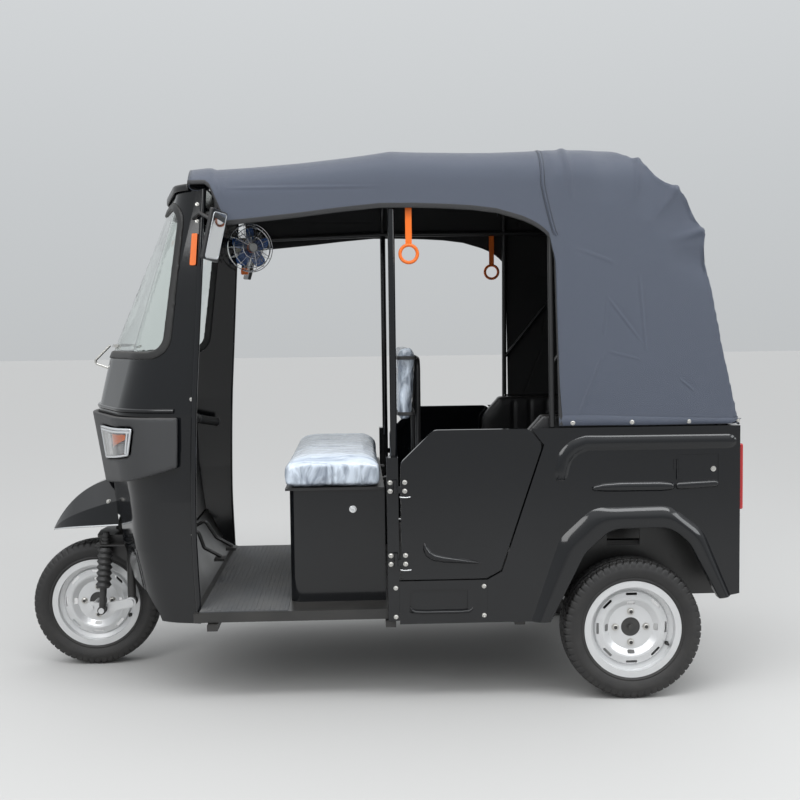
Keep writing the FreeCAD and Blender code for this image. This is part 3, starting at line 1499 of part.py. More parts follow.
def canopy_frame():
    """Roof rails, bows and legs of round tube under the hood, with a folding strut on each side."""
    pieces = []
    rail_z = size.rail_z
    half = size.rail_half
    tube = size.tube_radius
    front_z = rail_z - 26
    foot = (size.foot_half, size.body_top + 2.3)
    for side in (-1, 1):
        pieces.append(tube_path((
            (542.8, side * 515, front_z), (470, side * (half - 44), front_z + 2), (size.post_x, side * half, rail_z),
            (size.bow_rear_x, side * half, rail_z), (size.bow_rear_x - 138, side * foot[0], foot[1])), tube, 60))
        middle = (size.bow_middle_x, side * half, rail_z)
        pieces.append(rod(middle, (size.bow_middle_x, side * foot[0], foot[1]), tube - 1))
        pieces.append(rod((size.bow_middle_x, side * (half + 20), 1180), (size.bow_rear_x, side * half, rail_z), 7))
    for bow_x, wide, low_z, top, bend in (
        (size.bow_front_x, half - 48, front_z, size.bow_top - 52, 100),
        (size.post_x, half, rail_z, size.bow_top, 110),
        (size.bow_middle_x, half, rail_z, size.bow_top, 110),
        (size.bow_rear_x, half, rail_z, size.bow_top - 150, 50),
    ):
        pieces.append(tube_path((
            (bow_x, -wide, low_z), (bow_x, -wide, top - 34), (bow_x, 0, top),
            (bow_x, wide, top - 34), (bow_x, wide, low_z)), tube - 1.5, bend))
    return fused(pieces)


shaped("canopy_frame", canopy_frame())


# Fittings: mirrors, wiper, side reflectors, straps, pedals

def mirrors():
    pieces = []
    low, high = Vector(518, 0, 1548), Vector(480, 0, 1716)
    way = (high - low).normalize()
    for side in (-1, 1):
        middle_y = side * size.mirror_y
        plate = Part.makeBox(14, size.mirror_width, (high - low).Length)
        plate = plate.makeFillet(5, plate.Edges)
        plate.translate(Vector(-7, -size.mirror_width / 2, 0))
        plate.rotate(Vector(0, 0, 0), Vector(0, 0, 1), -side * size.mirror_turn)
        lean = math.degrees(math.atan2(way.x, way.z))
        plate.rotate(Vector(0, 0, 0), Vector(0, 1, 0), lean)
        plate.translate(Vector(low.x, middle_y, low.z))
        arm = tube_path(((586, side * 506, 1700), (556, side * 560, 1716), (514, side * (size.mirror_y - 10), 1690), (504, side * size.mirror_y, 1650)), 6, 18)
        pieces.append(fused([plate, arm.cut(cab_solid(size.seam_gap))]))
    return Part.makeCompound(pieces)


shaped("mirrors", mirrors())


def wiper():
    """Arm from its spindle on the scuttle, knuckle, and blade on the glass."""
    spindle, knuckle, tip = Vector(1000, 0, 1170), Vector(1066, 0, 1196), Vector(998, 0, 1262)
    arm = fused([tube_path((tuple(spindle), tuple(knuckle), tuple(tip)), 5, 12), rod((996, 0, 1168), (982, 0, 1163), 12)])
    blade = cab_layer(11, size.seam_gap - 3).common(block((900, -180, 1256), (1100, 180, 1267)))
    return fused([arm.cut(cab_solid(size.seam_gap)), blade])


def side_reflectors():
    points = ((590, 1650), (570, 1650), (578, 1540), (600, 1540))
    return cab_layer(8, size.running_gap).common(across(points, (5, 5, 5, 5)))


shaped("wiper", wiper())
shaped("side_reflectors", side_reflectors())


def grab_handles():
    """A strap from the roof rail with a ring at its end: one on the left, one at the right rear."""
    pieces = []
    for x, side in ((-159, 1), (-590, -1)):
        y = side * size.rail_half
        top = size.rail_z - size.tube_radius - size.running_gap
        strap = block((x - 11, y - 2, 1600), (x + 11, y + 2, top))
        ring = Part.makeTorus(30, 6, Vector(x, y, 1568), Vector(0, 1, 0))
        pieces.append(fused([strap, ring]))
    return Part.makeCompound(pieces)


shaped("grab_handles", grab_handles())


def pedals():
    pieces = []
    for y, reach in ((150, 0), (-60, 20)):
        arm = tube_path(((size.toe_x + 88.4, y, 520), (650, y, 548), (626 - reach, y, 477), (560 - reach, y, 440)), 7, 16)
        pad_block = block((545 - reach, y - 30, 428), (585 - reach, y + 30, 438))
        pieces.append(fused([arm, pad_block]))
    return Part.makeCompound(pieces)


shaped("pedals", pedals())


# Fan: base on the right front pillar, motor, wire cage; the blades turn on their own

FAN_CENTRE = Vector(480, -420, 1673)
FAN_WAY = Vector(-math.sin(math.radians(size.fan_turn)), math.cos(math.radians(size.fan_turn)), 0)


FAN_RINGS = (
    # place along the fan's axis, share of the cage's radius
    (-22, 0.6), (-12, 0.95), (6, 1), (24, 0.82), (33, 0.45),
)


def fan_rod(low, high, radius):
    return Part.makeCylinder(radius, high - low, FAN_CENTRE + FAN_WAY * low, FAN_WAY)


def fan_stand():
    """Motor on its stem, stay to the pillar, and the cage's rings and straight wires."""
    rings = [(place, size.fan_radius * part) for place, part in FAN_RINGS]
    cage = [Part.makeTorus(radius, size.wire_radius + 0.4, FAN_CENTRE + FAN_WAY * place, FAN_WAY) for place, radius in rings]
    side_way = FAN_WAY.cross(Vector(0, 0, 1)).normalize()
    count = int(size.fan_wires)
    runs = [(rings[0][0], 26)] + rings + [(rings[-1][0] + 1, 16)]
    for wire in range(count):
        angle = 2 * math.pi * wire / count
        radial = side_way * math.cos(angle) + Vector(0, 0, 1) * math.sin(angle)
        spots = [FAN_CENTRE + FAN_WAY * place + radial * reach for place, reach in runs]
        for start, end in zip(spots, spots[1:]):
            cage.append(rod(tuple(start), tuple(end), size.wire_radius))
    cage.append(fan_rod(30, 36, 20))
    cage.append(fan_rod(-84, -22, 32))
    back = FAN_CENTRE + FAN_WAY * -60
    pillar = Vector(565, -524, 1640)
    cage.append(rod(tuple(back), (back.x, back.y, 1560), 12))
    cage.append(rod(tuple(back), tuple(pillar), 9))
    return fused(cage).cut(cab_layer(20, -size.cowl_wall - size.running_gap))


def fan_blades():
    """Hub on the motor's shaft with curved blades."""
    pieces = [fan_rod(-14, 20, 22), fan_rod(-21.5, -10, 4)]
    count = int(size.fan_blade_count)
    for blade in range(count):
        plate = Part.makeBox(2, 52, size.fan_radius - 34, Vector(-1, -26, 18))
        plate = plate.makeFillet(18, [edge for edge in plate.Edges if along(edge, Vector(1, 0, 0)) and edge.CenterOfMass.z > 40])
        plate.rotate(Vector(0, 0, 0), Vector(0, 0, 1), 32)
        plate.rotate(Vector(0, 0, 0), Vector(1, 0, 0), 360 * blade / count)
        turn = Rotation(Vector(1, 0, 0), FAN_WAY)
        plate.Placement = Placement(FAN_CENTRE + FAN_WAY * 3, turn).multiply(plate.Placement)
        pieces.append(plate)
    return fused(pieces)


shaped("fan_stand", fan_stand())
shaped("fan_blades", fan_blades())


# Check every object, then write one file for each piece

def finished(item):
    """True for an object that is a piece of its own."""
    return item.TypeId in ("PartDesign::Body", "Part::Feature", "Part::Mirroring")


doc.recompute()
os.makedirs("parts", exist_ok=True)
for item in doc.Objects:
    if "Invalid" in item.State or "Error" in item.State:
        raise RuntimeError("%s failed: %s" % (item.Name, item.State))
pieces = [item for item in doc.Objects if finished(item) and not item.Label.endswith("_form")]
for item in pieces:
    if item.Shape.isNull() or not item.Shape.isValid() or not item.Shape.Solids:
        raise RuntimeError("%s has no valid shape" % item.Label)
for item in pieces:
    item.Shape.exportStep(os.path.join("parts", item.Label + ".step"))
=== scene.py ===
import math

import bmesh
import bpy
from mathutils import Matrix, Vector, noise
from mathutils.bvhtree import BVHTree


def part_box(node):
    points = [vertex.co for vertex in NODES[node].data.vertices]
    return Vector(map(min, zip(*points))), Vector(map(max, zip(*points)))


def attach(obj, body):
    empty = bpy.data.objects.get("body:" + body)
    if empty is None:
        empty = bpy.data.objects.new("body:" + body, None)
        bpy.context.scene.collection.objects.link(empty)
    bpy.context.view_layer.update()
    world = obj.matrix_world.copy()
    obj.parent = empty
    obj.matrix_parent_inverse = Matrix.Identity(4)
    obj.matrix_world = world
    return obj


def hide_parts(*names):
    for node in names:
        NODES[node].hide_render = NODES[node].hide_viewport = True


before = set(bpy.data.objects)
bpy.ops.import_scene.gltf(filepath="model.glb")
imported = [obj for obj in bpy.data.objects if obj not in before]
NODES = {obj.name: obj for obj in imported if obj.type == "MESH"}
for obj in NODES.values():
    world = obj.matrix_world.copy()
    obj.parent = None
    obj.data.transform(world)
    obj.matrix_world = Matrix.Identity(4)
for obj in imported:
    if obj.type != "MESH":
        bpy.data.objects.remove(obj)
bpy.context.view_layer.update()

BODY = "vehicle_body"

# Studio: a pale floor, a pale sky that is a little brighter overhead, three soft
# lamps, and the camera at the photograph's place, 4.4 m from the left side.
scene = bpy.context.scene
scene.view_settings.view_transform = "Standard"

camera_data = bpy.data.cameras.new("camera")
camera_data.lens = 49.09
camera_data.sensor_width = 36
camera = bpy.data.objects.new("camera", camera_data)
camera.location = (0.0243, 4.3583, 1.2929)
camera.rotation_euler = [math.radians(angle) for angle in (86.5384, 0.7074, 177.7258)]
scene.collection.objects.link(camera)
scene.camera = camera


def placed(tree, kind, feeds=None, **settings):
    """A shader node with its settings; feeds gives named inputs a value or another node's output."""
    made = tree.nodes.new("ShaderNode" + kind)
    for name, value in settings.items():
        setattr(made, name, value)
    for name, value in (feeds or {}).items():
        if isinstance(value, bpy.types.NodeSocket):
            tree.links.new(value, made.inputs[name])
        else:
            made.inputs[name].default_value = value
    return made


def toned(tree, factor, stops):
    """The colour of a ramp over a factor, from (position, colour) stops in rising order."""
    made = placed(tree, "ValToRGB", {"Fac": factor})
    ramp = made.color_ramp.elements
    for element, (position, colour) in zip(ramp, (stops[0], stops[-1])):
        element.position = position
        element.color = colour
    for position, colour in stops[1:-1]:
        ramp.new(position).color = colour
    return made.outputs["Color"]


world = bpy.data.worlds.new("pale_sky")
scene.world = world
world.use_nodes = True
sky = world.node_tree
sky_place = placed(sky, "TexCoord")
sky_split = placed(sky, "SeparateXYZ", {0: sky_place.outputs["Generated"]})
sky_height = placed(sky, "MapRange", {"From Min": -1, "Value": sky_split.outputs["Z"]})
sky_tone = toned(sky, sky_height.outputs["Result"], (
    (0.00, (0.33, 0.335, 0.34, 1)), (0.42, (0.36, 0.37, 0.375, 1)), (0.56, (0.42, 0.435, 0.445, 1)),
    (0.68, (0.50, 0.515, 0.525, 1)), (0.82, (0.86, 0.88, 0.90, 1)), (0.95, (0.96, 0.98, 1.0, 1))))
sky.links.new(sky_tone, sky.nodes["Background"].inputs["Color"])
sky.nodes["Background"].inputs["Strength"].default_value = 1.35

for name, place, aim, size, power, tone in (
    ("lamp_overhead", (-0.4, 2.5, 4.4), (-0.2, 0, 0.7), (6.6, 0.9), 112, (0.97, 0.985, 1)),
    ("lamp_front", (2.6, 4.4, 3.5), (-0.4, 0.4, 0.7), (1.6, 2.2), 50, (1, 1, 1)),
    ("lamp_rear", (-4.4, 2.2, 2.7), (-0.8, 0.4, 0.8), (1.8, 1.8), 44, (0.95, 0.98, 1)),
):
    lamp_data = bpy.data.lights.new(name, "AREA")
    lamp_data.shape = "RECTANGLE"
    lamp_data.size, lamp_data.size_y = size
    lamp_data.energy = power
    lamp_data.color = tone
    lamp = bpy.data.objects.new(name, lamp_data)
    lamp.location = place
    lamp.rotation_euler = (Vector(aim) - Vector(place)).to_track_quat("-Z", "Y").to_euler()
    scene.collection.objects.link(lamp)


def new_material(name):
    """An empty node material: its node tree and its Principled shader."""
    made = bpy.data.materials.new(name)
    made.use_nodes = True
    return made, made.node_tree, made.node_tree.nodes["Principled BSDF"]


FLOOR_REACH = 60
floor_mesh = bpy.data.meshes.new("studio_floor")
floor_corners = [(FLOOR_REACH * x, FLOOR_REACH * y, 0) for x, y in ((-1, -1), (1, -1), (1, 1), (-1, 1))]
floor_mesh.from_pydata(floor_corners, [], [(0, 1, 2, 3)])
studio_floor = bpy.data.objects.new("studio_floor", floor_mesh)
scene.collection.objects.link(studio_floor)
floor_look, floor_tree, floor_shader = new_material("pale_floor")
floor_shader.inputs["Base Color"].default_value = (0.52, 0.515, 0.505, 1)
floor_shader.inputs["Roughness"].default_value = 0.85
floor_mesh.materials.append(floor_look)


# Painted steel bodywork: gloss black over pressed panels. The paint has a faint
# orange peel, a little dust lies on what faces up, and the low edges are duller.
def add_sockets(group, direction, sockets):
    """Gives a node group its inputs or outputs, from (name, value) pairs; a colour has four numbers."""
    for name, value in sockets:
        kind = "NodeSocketColor" if isinstance(value, tuple) else "NodeSocketFloat"
        made = group.interface.new_socket(name, in_out=direction, socket_type=kind)
        made.default_value = value


def reckoned(tree, operation, *values, **settings):
    """The result of a maths node over values or other nodes' outputs."""
    return placed(tree, "Math", dict(enumerate(values)), operation=operation, **settings).outputs[0]


def build_finish_group():
    """Colour, roughness and height that change over a surface: mottle, grain and dust."""
    group = bpy.data.node_groups.new("surface_finish", "ShaderNodeTree")
    add_sockets(group, "INPUT", (
        ("Color", (0.5, 0.5, 0.5, 1)), ("Second Color", (0.4, 0.4, 0.4, 1)),
        ("Mottle Scale", 6), ("Mottle", 0.5), ("Roughness", 0.4), ("Roughness Spread", 0.1),
        ("Grain Scale", 400), ("Grain", 0.5),
        ("Dust Color", (0.35, 0.32, 0.28, 1)), ("Dust", 0.1)))
    add_sockets(group, "OUTPUT", (("Color", (0, 0, 0, 1)), ("Roughness", 0), ("Height", 0)))
    enter = group.nodes.new("NodeGroupInput").outputs
    leave = group.nodes.new("NodeGroupOutput").inputs
    where = placed(group, "TexCoord").outputs["Object"]
    broad, fine = [
        placed(group, "TexNoise", {"Vector": where, "Scale": enter[scale], "Detail": detail}).outputs["Fac"]
        for scale, detail in (("Mottle Scale", 5), ("Grain Scale", 2))]
    share = reckoned(group, "MULTIPLY", broad, enter["Mottle"])
    blend = placed(
        group, "Mix", {"Factor": share, "A": enter["Color"], "B": enter["Second Color"]}, data_type="RGBA")
    facing = placed(group, "NewGeometry")
    normal = placed(group, "SeparateXYZ", {0: facing.outputs["Normal"]})
    upward = placed(group, "MapRange", {"From Min": 0.3, "From Max": 1.0, "Value": normal.outputs["Z"]})
    place = placed(group, "SeparateXYZ", {0: facing.outputs["Position"]})
    low = placed(group, "MapRange", {"From Min": 0.75, "From Max": 0.05, "Value": place.outputs["Z"]})
    settle = reckoned(group, "MAXIMUM", upward.outputs["Result"], low.outputs["Result"])
    dusty = reckoned(group, "MULTIPLY", reckoned(group, "MULTIPLY", settle, broad), enter["Dust"])
    dusting = {"Factor": dusty, "A": blend.outputs["Result"], "B": enter["Dust Color"]}
    cover = placed(group, "Mix", dusting, data_type="RGBA")
    centre = reckoned(group, "SUBTRACT", broad, 0.5)
    vary = reckoned(group, "MULTIPLY_ADD", centre, enter["Roughness Spread"], enter["Roughness"])
    group.links.new(cover.outputs["Result"], leave["Color"])
    group.links.new(reckoned(group, "ADD", vary, dusty, use_clamp=True), leave["Roughness"])
    group.links.new(reckoned(group, "MULTIPLY", fine, enter["Grain"]), leave["Height"])
    return group


FINISH_GROUP = build_finish_group()


def finished_material(name, colour, second, mottle, roughness, grain, dust=0.1, metallic=0.0, coat=0.0):
    """A Principled material whose colour, roughness and height come from the finish group."""
    made, tree, shader = new_material(name)
    finish = placed(tree, "Group", node_tree=FINISH_GROUP, name="finish")
    for socket, value in (
        ("Color", (*colour, 1)), ("Second Color", (*second, 1)), ("Dust", dust),
        ("Mottle Scale", mottle[0]), ("Mottle", mottle[1]), ("Grain Scale", grain[0]), ("Grain", grain[1]),
        ("Roughness", roughness[0]), ("Roughness Spread", roughness[1]),
    ):
        finish.inputs[socket].default_value = value
    relief = {"Distance": 0.001, "Strength": 0.6, "Height": finish.outputs["Height"]}
    bump = placed(tree, "Bump", relief, name="relief")
    tree.links.new(finish.outputs["Color"], shader.inputs["Base Color"])
    tree.links.new(finish.outputs["Roughness"], shader.inputs["Roughness"])
    tree.links.new(bump.outputs["Normal"], shader.inputs["Normal"])
    shader.inputs["Metallic"].default_value = metallic
    shader.inputs["Coat Weight"].default_value = coat
    shader.inputs["Coat Roughness"].default_value = 0.03
    return made


def raised(made, height):
    """Adds a height to a finished material's own relief."""
    tree = made.node_tree
    total = reckoned(tree, "ADD", tree.nodes["finish"].outputs["Height"], height)
    tree.links.new(total, tree.nodes["relief"].inputs["Height"])
    return made


def paint_node(look, *names):
    """Gives CAD nodes a better material."""
    for name in names:
        mesh = NODES[name].data
        mesh.materials.clear()
        mesh.materials.append(look)


gloss_black = finished_material(
    "gloss_black_paint", (0.0035, 0.004, 0.005), (0.006, 0.007, 0.009), (3, 0.6), (0.10, 0.05), (60, 0.06),
    dust=0.02)
paint_node(
    gloss_black, "front_cowl", "front_fender", "rocker_left", "rocker_right", "side_panel_left",
    "side_panel_right", "arch_flare_left", "arch_flare_right", "rear_panel", "door_left", "door_right",
    "charge_flap", "seat_box", "door_posts")




# Tyres: black rubber on each wheel, with a ribbed crown, cut shoulder blocks and
# a plain side wall. Each is moulded in one piece and stretched over its rim.
def add_piece(name, look, vertices, faces, body, smooth=True):
    """A mesh piece from points and faces, riding on a body."""
    mesh = bpy.data.meshes.new(name)
    mesh.from_pydata([tuple(spot) for spot in vertices], [], faces)
    mesh.validate()
    if smooth:
        mesh.polygons.foreach_set("use_smooth", [True] * len(mesh.polygons))
    mesh.materials.append(look)
    piece = bpy.data.objects.new(name, mesh)
    scene.collection.objects.link(piece)
    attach(piece, body)
    return piece


def outward(piece):
    """Turns every face of a closed or open mesh to face the same, outer way."""
    work = bmesh.new()
    work.from_mesh(piece.data)
    bmesh.ops.remove_doubles(work, verts=work.verts, dist=1e-6)
    bmesh.ops.recalc_face_normals(work, faces=work.faces)
    work.to_mesh(piece.data)
    work.free()


tyre_black = finished_material(
    "tyre_rubber_black", (0.010, 0.010, 0.011), (0.018, 0.0175, 0.017), (30, 0.5), (0.55, 0.15), (900, 0.5),
    dust=0.07)
TYRE_RADIUS = 0.247
TYRE_HALF_WIDTH = 0.0648
TYRE_BEAD_RADIUS = 0.1728
TYRE_STEPS = 480
TREAD_BLOCKS = 60


def tyre_profile(half_width, bead_radius):
    """Points from the outer bead over the crown to the inner bead: (across, radius, share of tread)."""
    low = ((0.80, 0), (0.86, 0.006), (0.84, 0.011), (0.93, 0.020), (0.985, 0.033))
    high = ((0.995, 0.036, 0), (0.975, 0.029, 0), (0.965, 0.0275, 0), (0.955, 0.0235, 0.35),
            (0.925, 0.0165, 1), (0.885, 0.0100, 1), (0.84, 0.0065, 1))
    wall = [(across, bead_radius + rise, 0) for across, rise in low]
    wall += [(across, TYRE_RADIUS - drop, cut) for across, drop, cut in high]
    crown = []
    for step in range(31):
        across = 0.80 - 1.60 * step / 30
        crown.append((across, TYRE_RADIUS - 0.0052 * (across / 0.80) ** 2, 1))
    side = [(across * half_width, radius, cut) for across, radius, cut in wall]
    middle = [(across * half_width, radius, cut) for across, radius, cut in crown]
    return side + middle + [(-across, radius, cut) for across, radius, cut in reversed(side)]


def tread_depth(across, turn, half_width):
    """How deep the tread is cut at a place: three ribs with sipes, blocks on the shoulders."""
    share = abs(across) / half_width
    side = 1 if across > 0 else -1
    pitch = 2 * math.pi / TREAD_BLOCKS
    wave = 0.030 * math.sin(turn * 30)
    for line in (0.17, 0.50):
        if abs(share - line - wave) < 0.045:
            return 0.0055
    if share > 0.56:
        lean = (share - 0.56) * 0.05 * side
        phase = ((turn + lean + (pitch / 2 if side > 0 else 0)) % pitch) / pitch
        if phase < 0.24:
            return 0.0060
    elif 0.22 < share < 0.45:
        phase = ((turn + share * 0.06 * side) % pitch) / pitch
        if phase < 0.12:
            return 0.0030
    return 0


def add_tyre(name, node, body, axle, half_width):
    """A tyre turned from its profile, with the tread cut into it."""
    profile = tyre_profile(half_width, TYRE_BEAD_RADIUS)
    vertices, faces = [], []
    for step in range(TYRE_STEPS):
        turn = 2 * math.pi * step / TYRE_STEPS
        for across, radius, cut in profile:
            reach = radius - (tread_depth(across, turn, half_width) * cut if cut else 0)
            vertices.append(Vector(axle) + Vector((reach * math.cos(turn), across, reach * math.sin(turn))))
    count = len(profile)
    for step in range(TYRE_STEPS):
        here, there = step * count, (step + 1) % TYRE_STEPS * count
        for row in range(count - 1):
            faces.append((here + row, here + row + 1, there + row + 1, there + row))
    piece = add_piece(name, tyre_black, vertices, faces, body)
    outward(piece)
    piece.data.set_sharp_from_angle(angle=math.radians(38))
    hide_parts(node)


WHEELS = (
    ("front", "front_wheel", (1.069, 0.0, 0.247)),
    ("rear_left", "rear_left_wheel", (-0.931, 0.566, 0.247)),
    ("rear_right", "rear_right_wheel", (-0.931, -0.566, 0.247)),
)
for name, body, axle in WHEELS:
    add_tyre(name + "_tyre_treaded", name + "_tyre", body, axle, TYRE_HALF_WIDTH)


# Wheels: silver-painted pressed steel rims with slots round the disc, each on a
# dark cast hub. Four plain nuts hold the disc, and a rubber valve stands in the rim.
silver_paint = finished_material(
    "silver_wheel_paint", (0.68, 0.685, 0.69), (0.56, 0.565, 0.57), (14, 0.5), (0.30, 0.10), (700, 0.2),
    dust=0.06, metallic=0.45)
cast_dark = finished_material(
    "cast_housing_dark", (0.045, 0.046, 0.048), (0.08, 0.078, 0.075), (40, 0.5), (0.45, 0.2), (500, 0.6),
    dust=0.15, metallic=0.6)
bright_steel = finished_material(
    "zinc_plated_steel", (0.62, 0.61, 0.58), (0.45, 0.44, 0.42), (60, 0.6), (0.28, 0.15), (600, 0.2),
    dust=0.1, metallic=1.0)
soft_rubber = finished_material(
    "soft_black_rubber", (0.018, 0.018, 0.019), (0.03, 0.03, 0.03), (25, 0.5), (0.5, 0.15), (800, 0.3),
    dust=0.08)
paint_node(silver_paint, "front_rim", "rear_left_rim", "rear_right_rim")
paint_node(cast_dark, "front_hub", "rear_left_hub", "rear_right_hub")


def frame_of(way):
    """Two directions across a given one."""
    way = Vector(way).normalized()
    first = way.cross(Vector((0, 0, 1)) if abs(way.z) < 0.9 else Vector((1, 0, 0))).normalized()
    return way, first, way.cross(first).normalized()


def round_points(middle, first, second, radius, count):
    """Points of a circle spanned by two directions."""
    turns = [2 * math.pi * corner / count for corner in range(count)]
    return [middle + (first * math.cos(turn) + second * math.sin(turn)) * radius for turn in turns]


def tube_faces(rows, count, start=0):
    """Faces between closed rings of equal counts that follow one another."""
    faces = []
    for row in range(rows - 1):
        here, there = start + row * count, start + (row + 1) * count
        for corner in range(count):
            after = (corner + 1) % count
            faces.append((here + corner, here + after, there + after, there + corner))
    return faces


HEAD_SIDES = 24


def head_parts(spot, way, radius, height, corners, washer):
    """Points and faces of one bolt or nut: a washer, a bevelled head with corners, and a dimple."""
    way, first, second = frame_of(way)
    spot = Vector(spot)
    rings = []
    if washer:
        rings += [(washer, 0.0, HEAD_SIDES), (washer, 0.22, HEAD_SIDES), (radius * 1.02, 0.24, HEAD_SIDES)]
    for share, rise in ((1, 0.24), (1, 0.85), (0.82, 1), (0.45, 0.97), (0.3, 0.8)):
        rings.append((radius * share, rise, corners))
    vertices = []
    for reach, rise, sides in rings:
        for corner in range(HEAD_SIDES):
            turn = 2 * math.pi * corner / HEAD_SIDES
            pull = 1.0
            if sides < HEAD_SIDES:
                share = (turn % (2 * math.pi / sides)) - math.pi / sides
                pull = math.cos(math.pi / sides) / math.cos(share)
            across = (first * math.cos(turn) + second * math.sin(turn)) * reach * pull
            vertices.append(spot + across + way * height * rise)
    last = (len(rings) - 1) * HEAD_SIDES
    return vertices, tube_faces(len(rings), HEAD_SIDES) + [tuple(range(last, last + HEAD_SIDES))]


def add_heads(name, look, spots, radius, height, body, corners=6, washer=0):
    """Bolt heads or nuts, given as (place, way out), in one piece."""
    vertices, faces = [], []
    for spot, way in spots:
        more, cells = head_parts(spot, way, radius, height, corners, washer)
        start = len(vertices)
        vertices += more
        faces += [tuple(start + corner for corner in cell) for cell in cells]
    piece = add_piece(name, look, vertices, faces, body)
    outward(piece)
    piece.data.set_sharp_from_angle(angle=math.radians(35))
    return piece


def add_bolts(name, spots, radius, height, washer=0, corners=HEAD_SIDES, body=BODY):
    """Zinc-plated heads, round unless corners says otherwise."""
    return add_heads(name, bright_steel, spots, radius, height, body, corners, washer)


def skin_of(*names):
    """The outside of some CAD nodes, to set pieces down on."""
    vertices, faces = [], []
    for name in names:
        mesh = NODES[name].data
        start = len(vertices)
        vertices += [vertex.co.copy() for vertex in mesh.vertices]
        faces += [[start + corner for corner in face.vertices] for face in mesh.polygons]
    return BVHTree.FromPolygons(vertices, faces)


def landed(skin, start, way):
    """Where a straight line from a place first meets a skin, and the way out there."""
    spot, normal, index, distance = skin.ray_cast(Vector(start), Vector(way).normalized())
    if spot is None:
        return None, None
    return spot, -normal if normal.dot(Vector(way)) > 0 else normal


def from_sides(skin, places, sides=(1, -1)):
    """(place, way out) pairs where lines from beside the vehicle, at (x, z) places, meet a skin."""
    found = [landed(skin, (x, side * 0.9, z), (0, -side, 0)) for side in sides for x, z in places]
    return [(spot, out) for spot, out in found if spot is not None]


NUT_CIRCLE = 0.055
VALVE_CIRCLE = 0.140
for name, body, axle in WHEELS:
    side = -1 if axle[1] < 0 else 1
    hub_skin = skin_of(name + "_hub", name + "_rim")
    outside = Vector(axle) + Vector((0, side * 0.2, 0))
    nuts = []
    for corner in range(4):
        turn = math.pi / 2 * corner
        place = outside + Vector((NUT_CIRCLE * math.cos(turn), 0, NUT_CIRCLE * math.sin(turn)))
        tip, out = landed(hub_skin, place, (0, -side, 0))
        nuts.append((tip - Vector((0, side * 0.0095, 0)), (0, side, 0)))
    add_bolts(name + "_wheel_nuts", nuts, 0.0105, 0.008, 0.013, corners=6, body=body)
    turn = math.radians(205)
    place = outside + Vector((VALVE_CIRCLE * math.cos(turn), 0, VALVE_CIRCLE * math.sin(turn)))
    root, out = landed(hub_skin, place, (0, -side, 0))
    stem = [(root - Vector((0, side * 0.002, 0)), Vector((0, side, 0)))]
    add_heads(name + "_valve", soft_rubber, stem, 0.0045, 0.026, body, HEAD_SIDES, 0.007)


# Chassis: welded square and round steel tube in satin black, with the battery box
# under the driver's seat, leaf springs and the driven axle with its motor behind.
satin_black = finished_material(
    "satin_black_enamel", (0.012, 0.012, 0.013), (0.022, 0.022, 0.022), (12, 0.5), (0.34, 0.12), (300, 0.3),
    dust=0.12)
battery_plastic = finished_material(
    "battery_case_grey", (0.03, 0.031, 0.033), (0.045, 0.045, 0.046), (16, 0.5), (0.55, 0.1), (500, 0.5),
    dust=0.2)
spring_steel = finished_material(
    "spring_steel_dark", (0.03, 0.03, 0.032), (0.06, 0.052, 0.045), (30, 0.6), (0.5, 0.2), (400, 0.8),
    dust=0.2, metallic=0.5)
paint_node(satin_black, "chassis_frame", "steering_fork", "canopy_frame", "backrest_frame",
           "lid_hinge_lugs", "pedals", "handlebar")
paint_node(battery_plastic, "battery_block")
paint_node(spring_steel, "rear_springs")
paint_node(cast_dark, "rear_axle")
paint_node(silver_paint, "link_arms")
paint_node(soft_rubber, "front_shocks")


# Floor: pressed steel, with a blue-grey ribbed rubber mat laid on the driver's part.
floor_steel = finished_material(
    "floor_steel_black", (0.014, 0.0145, 0.015), (0.03, 0.029, 0.028), (9, 0.5), (0.30, 0.12), (260, 0.3),
    dust=0.10)
paint_node(floor_steel, "floor_pan", "rear_tub")


def ribbed_material(name, colour, second, spacing, depth):
    """Moulded rubber with fine ribs along the vehicle."""
    made = finished_material(name, colour, second, (10, 0.6), (0.62, 0.15), (700, 0.4), dust=0.35)
    tree = made.node_tree
    where = placed(tree, "TexCoord").outputs["Object"]
    ribs = placed(tree, "TexWave", {"Vector": where, "Scale": 0.314 / spacing}, bands_direction="Y")
    return raised(made, reckoned(tree, "MULTIPLY", ribs.outputs["Fac"], depth))


mat_rubber = ribbed_material("ribbed_mat_blue_grey", (0.050, 0.058, 0.068), (0.075, 0.083, 0.092), 0.012, 3.0)
paint_node(mat_rubber, "floor_mat")


# Front cab: the gloss cowl is one pressing. The lamp band round its nose and the
# visor are moulded plastic, and the windscreen sits in a thick rubber seal.
grey_plastic = finished_material(
    "grained_dark_plastic", (0.030, 0.031, 0.033), (0.040, 0.041, 0.043), (20, 0.5), (0.52, 0.1), (1400, 0.8),
    dust=0.2)
visor_plastic = finished_material(
    "smooth_visor_plastic", (0.010, 0.010, 0.011), (0.016, 0.016, 0.017), (10, 0.5), (0.30, 0.1), (600, 0.2),
    dust=0.2)
seal_rubber = finished_material(
    "seal_rubber", (0.012, 0.012, 0.012), (0.02, 0.02, 0.02), (18, 0.5), (0.5, 0.12), (700, 0.3), dust=0.2)
dash_plastic = finished_material(
    "dash_plastic", (0.018, 0.018, 0.019), (0.026, 0.026, 0.027), (12, 0.5), (0.55, 0.1), (1200, 0.8),
    dust=0.25)
paint_node(grey_plastic, "headlamp_band")
paint_node(visor_plastic, "sun_visor")
paint_node(seal_rubber, "windscreen_seal")
paint_node(dash_plastic, "dash_panel")
paint_node(bright_steel, "wiper")


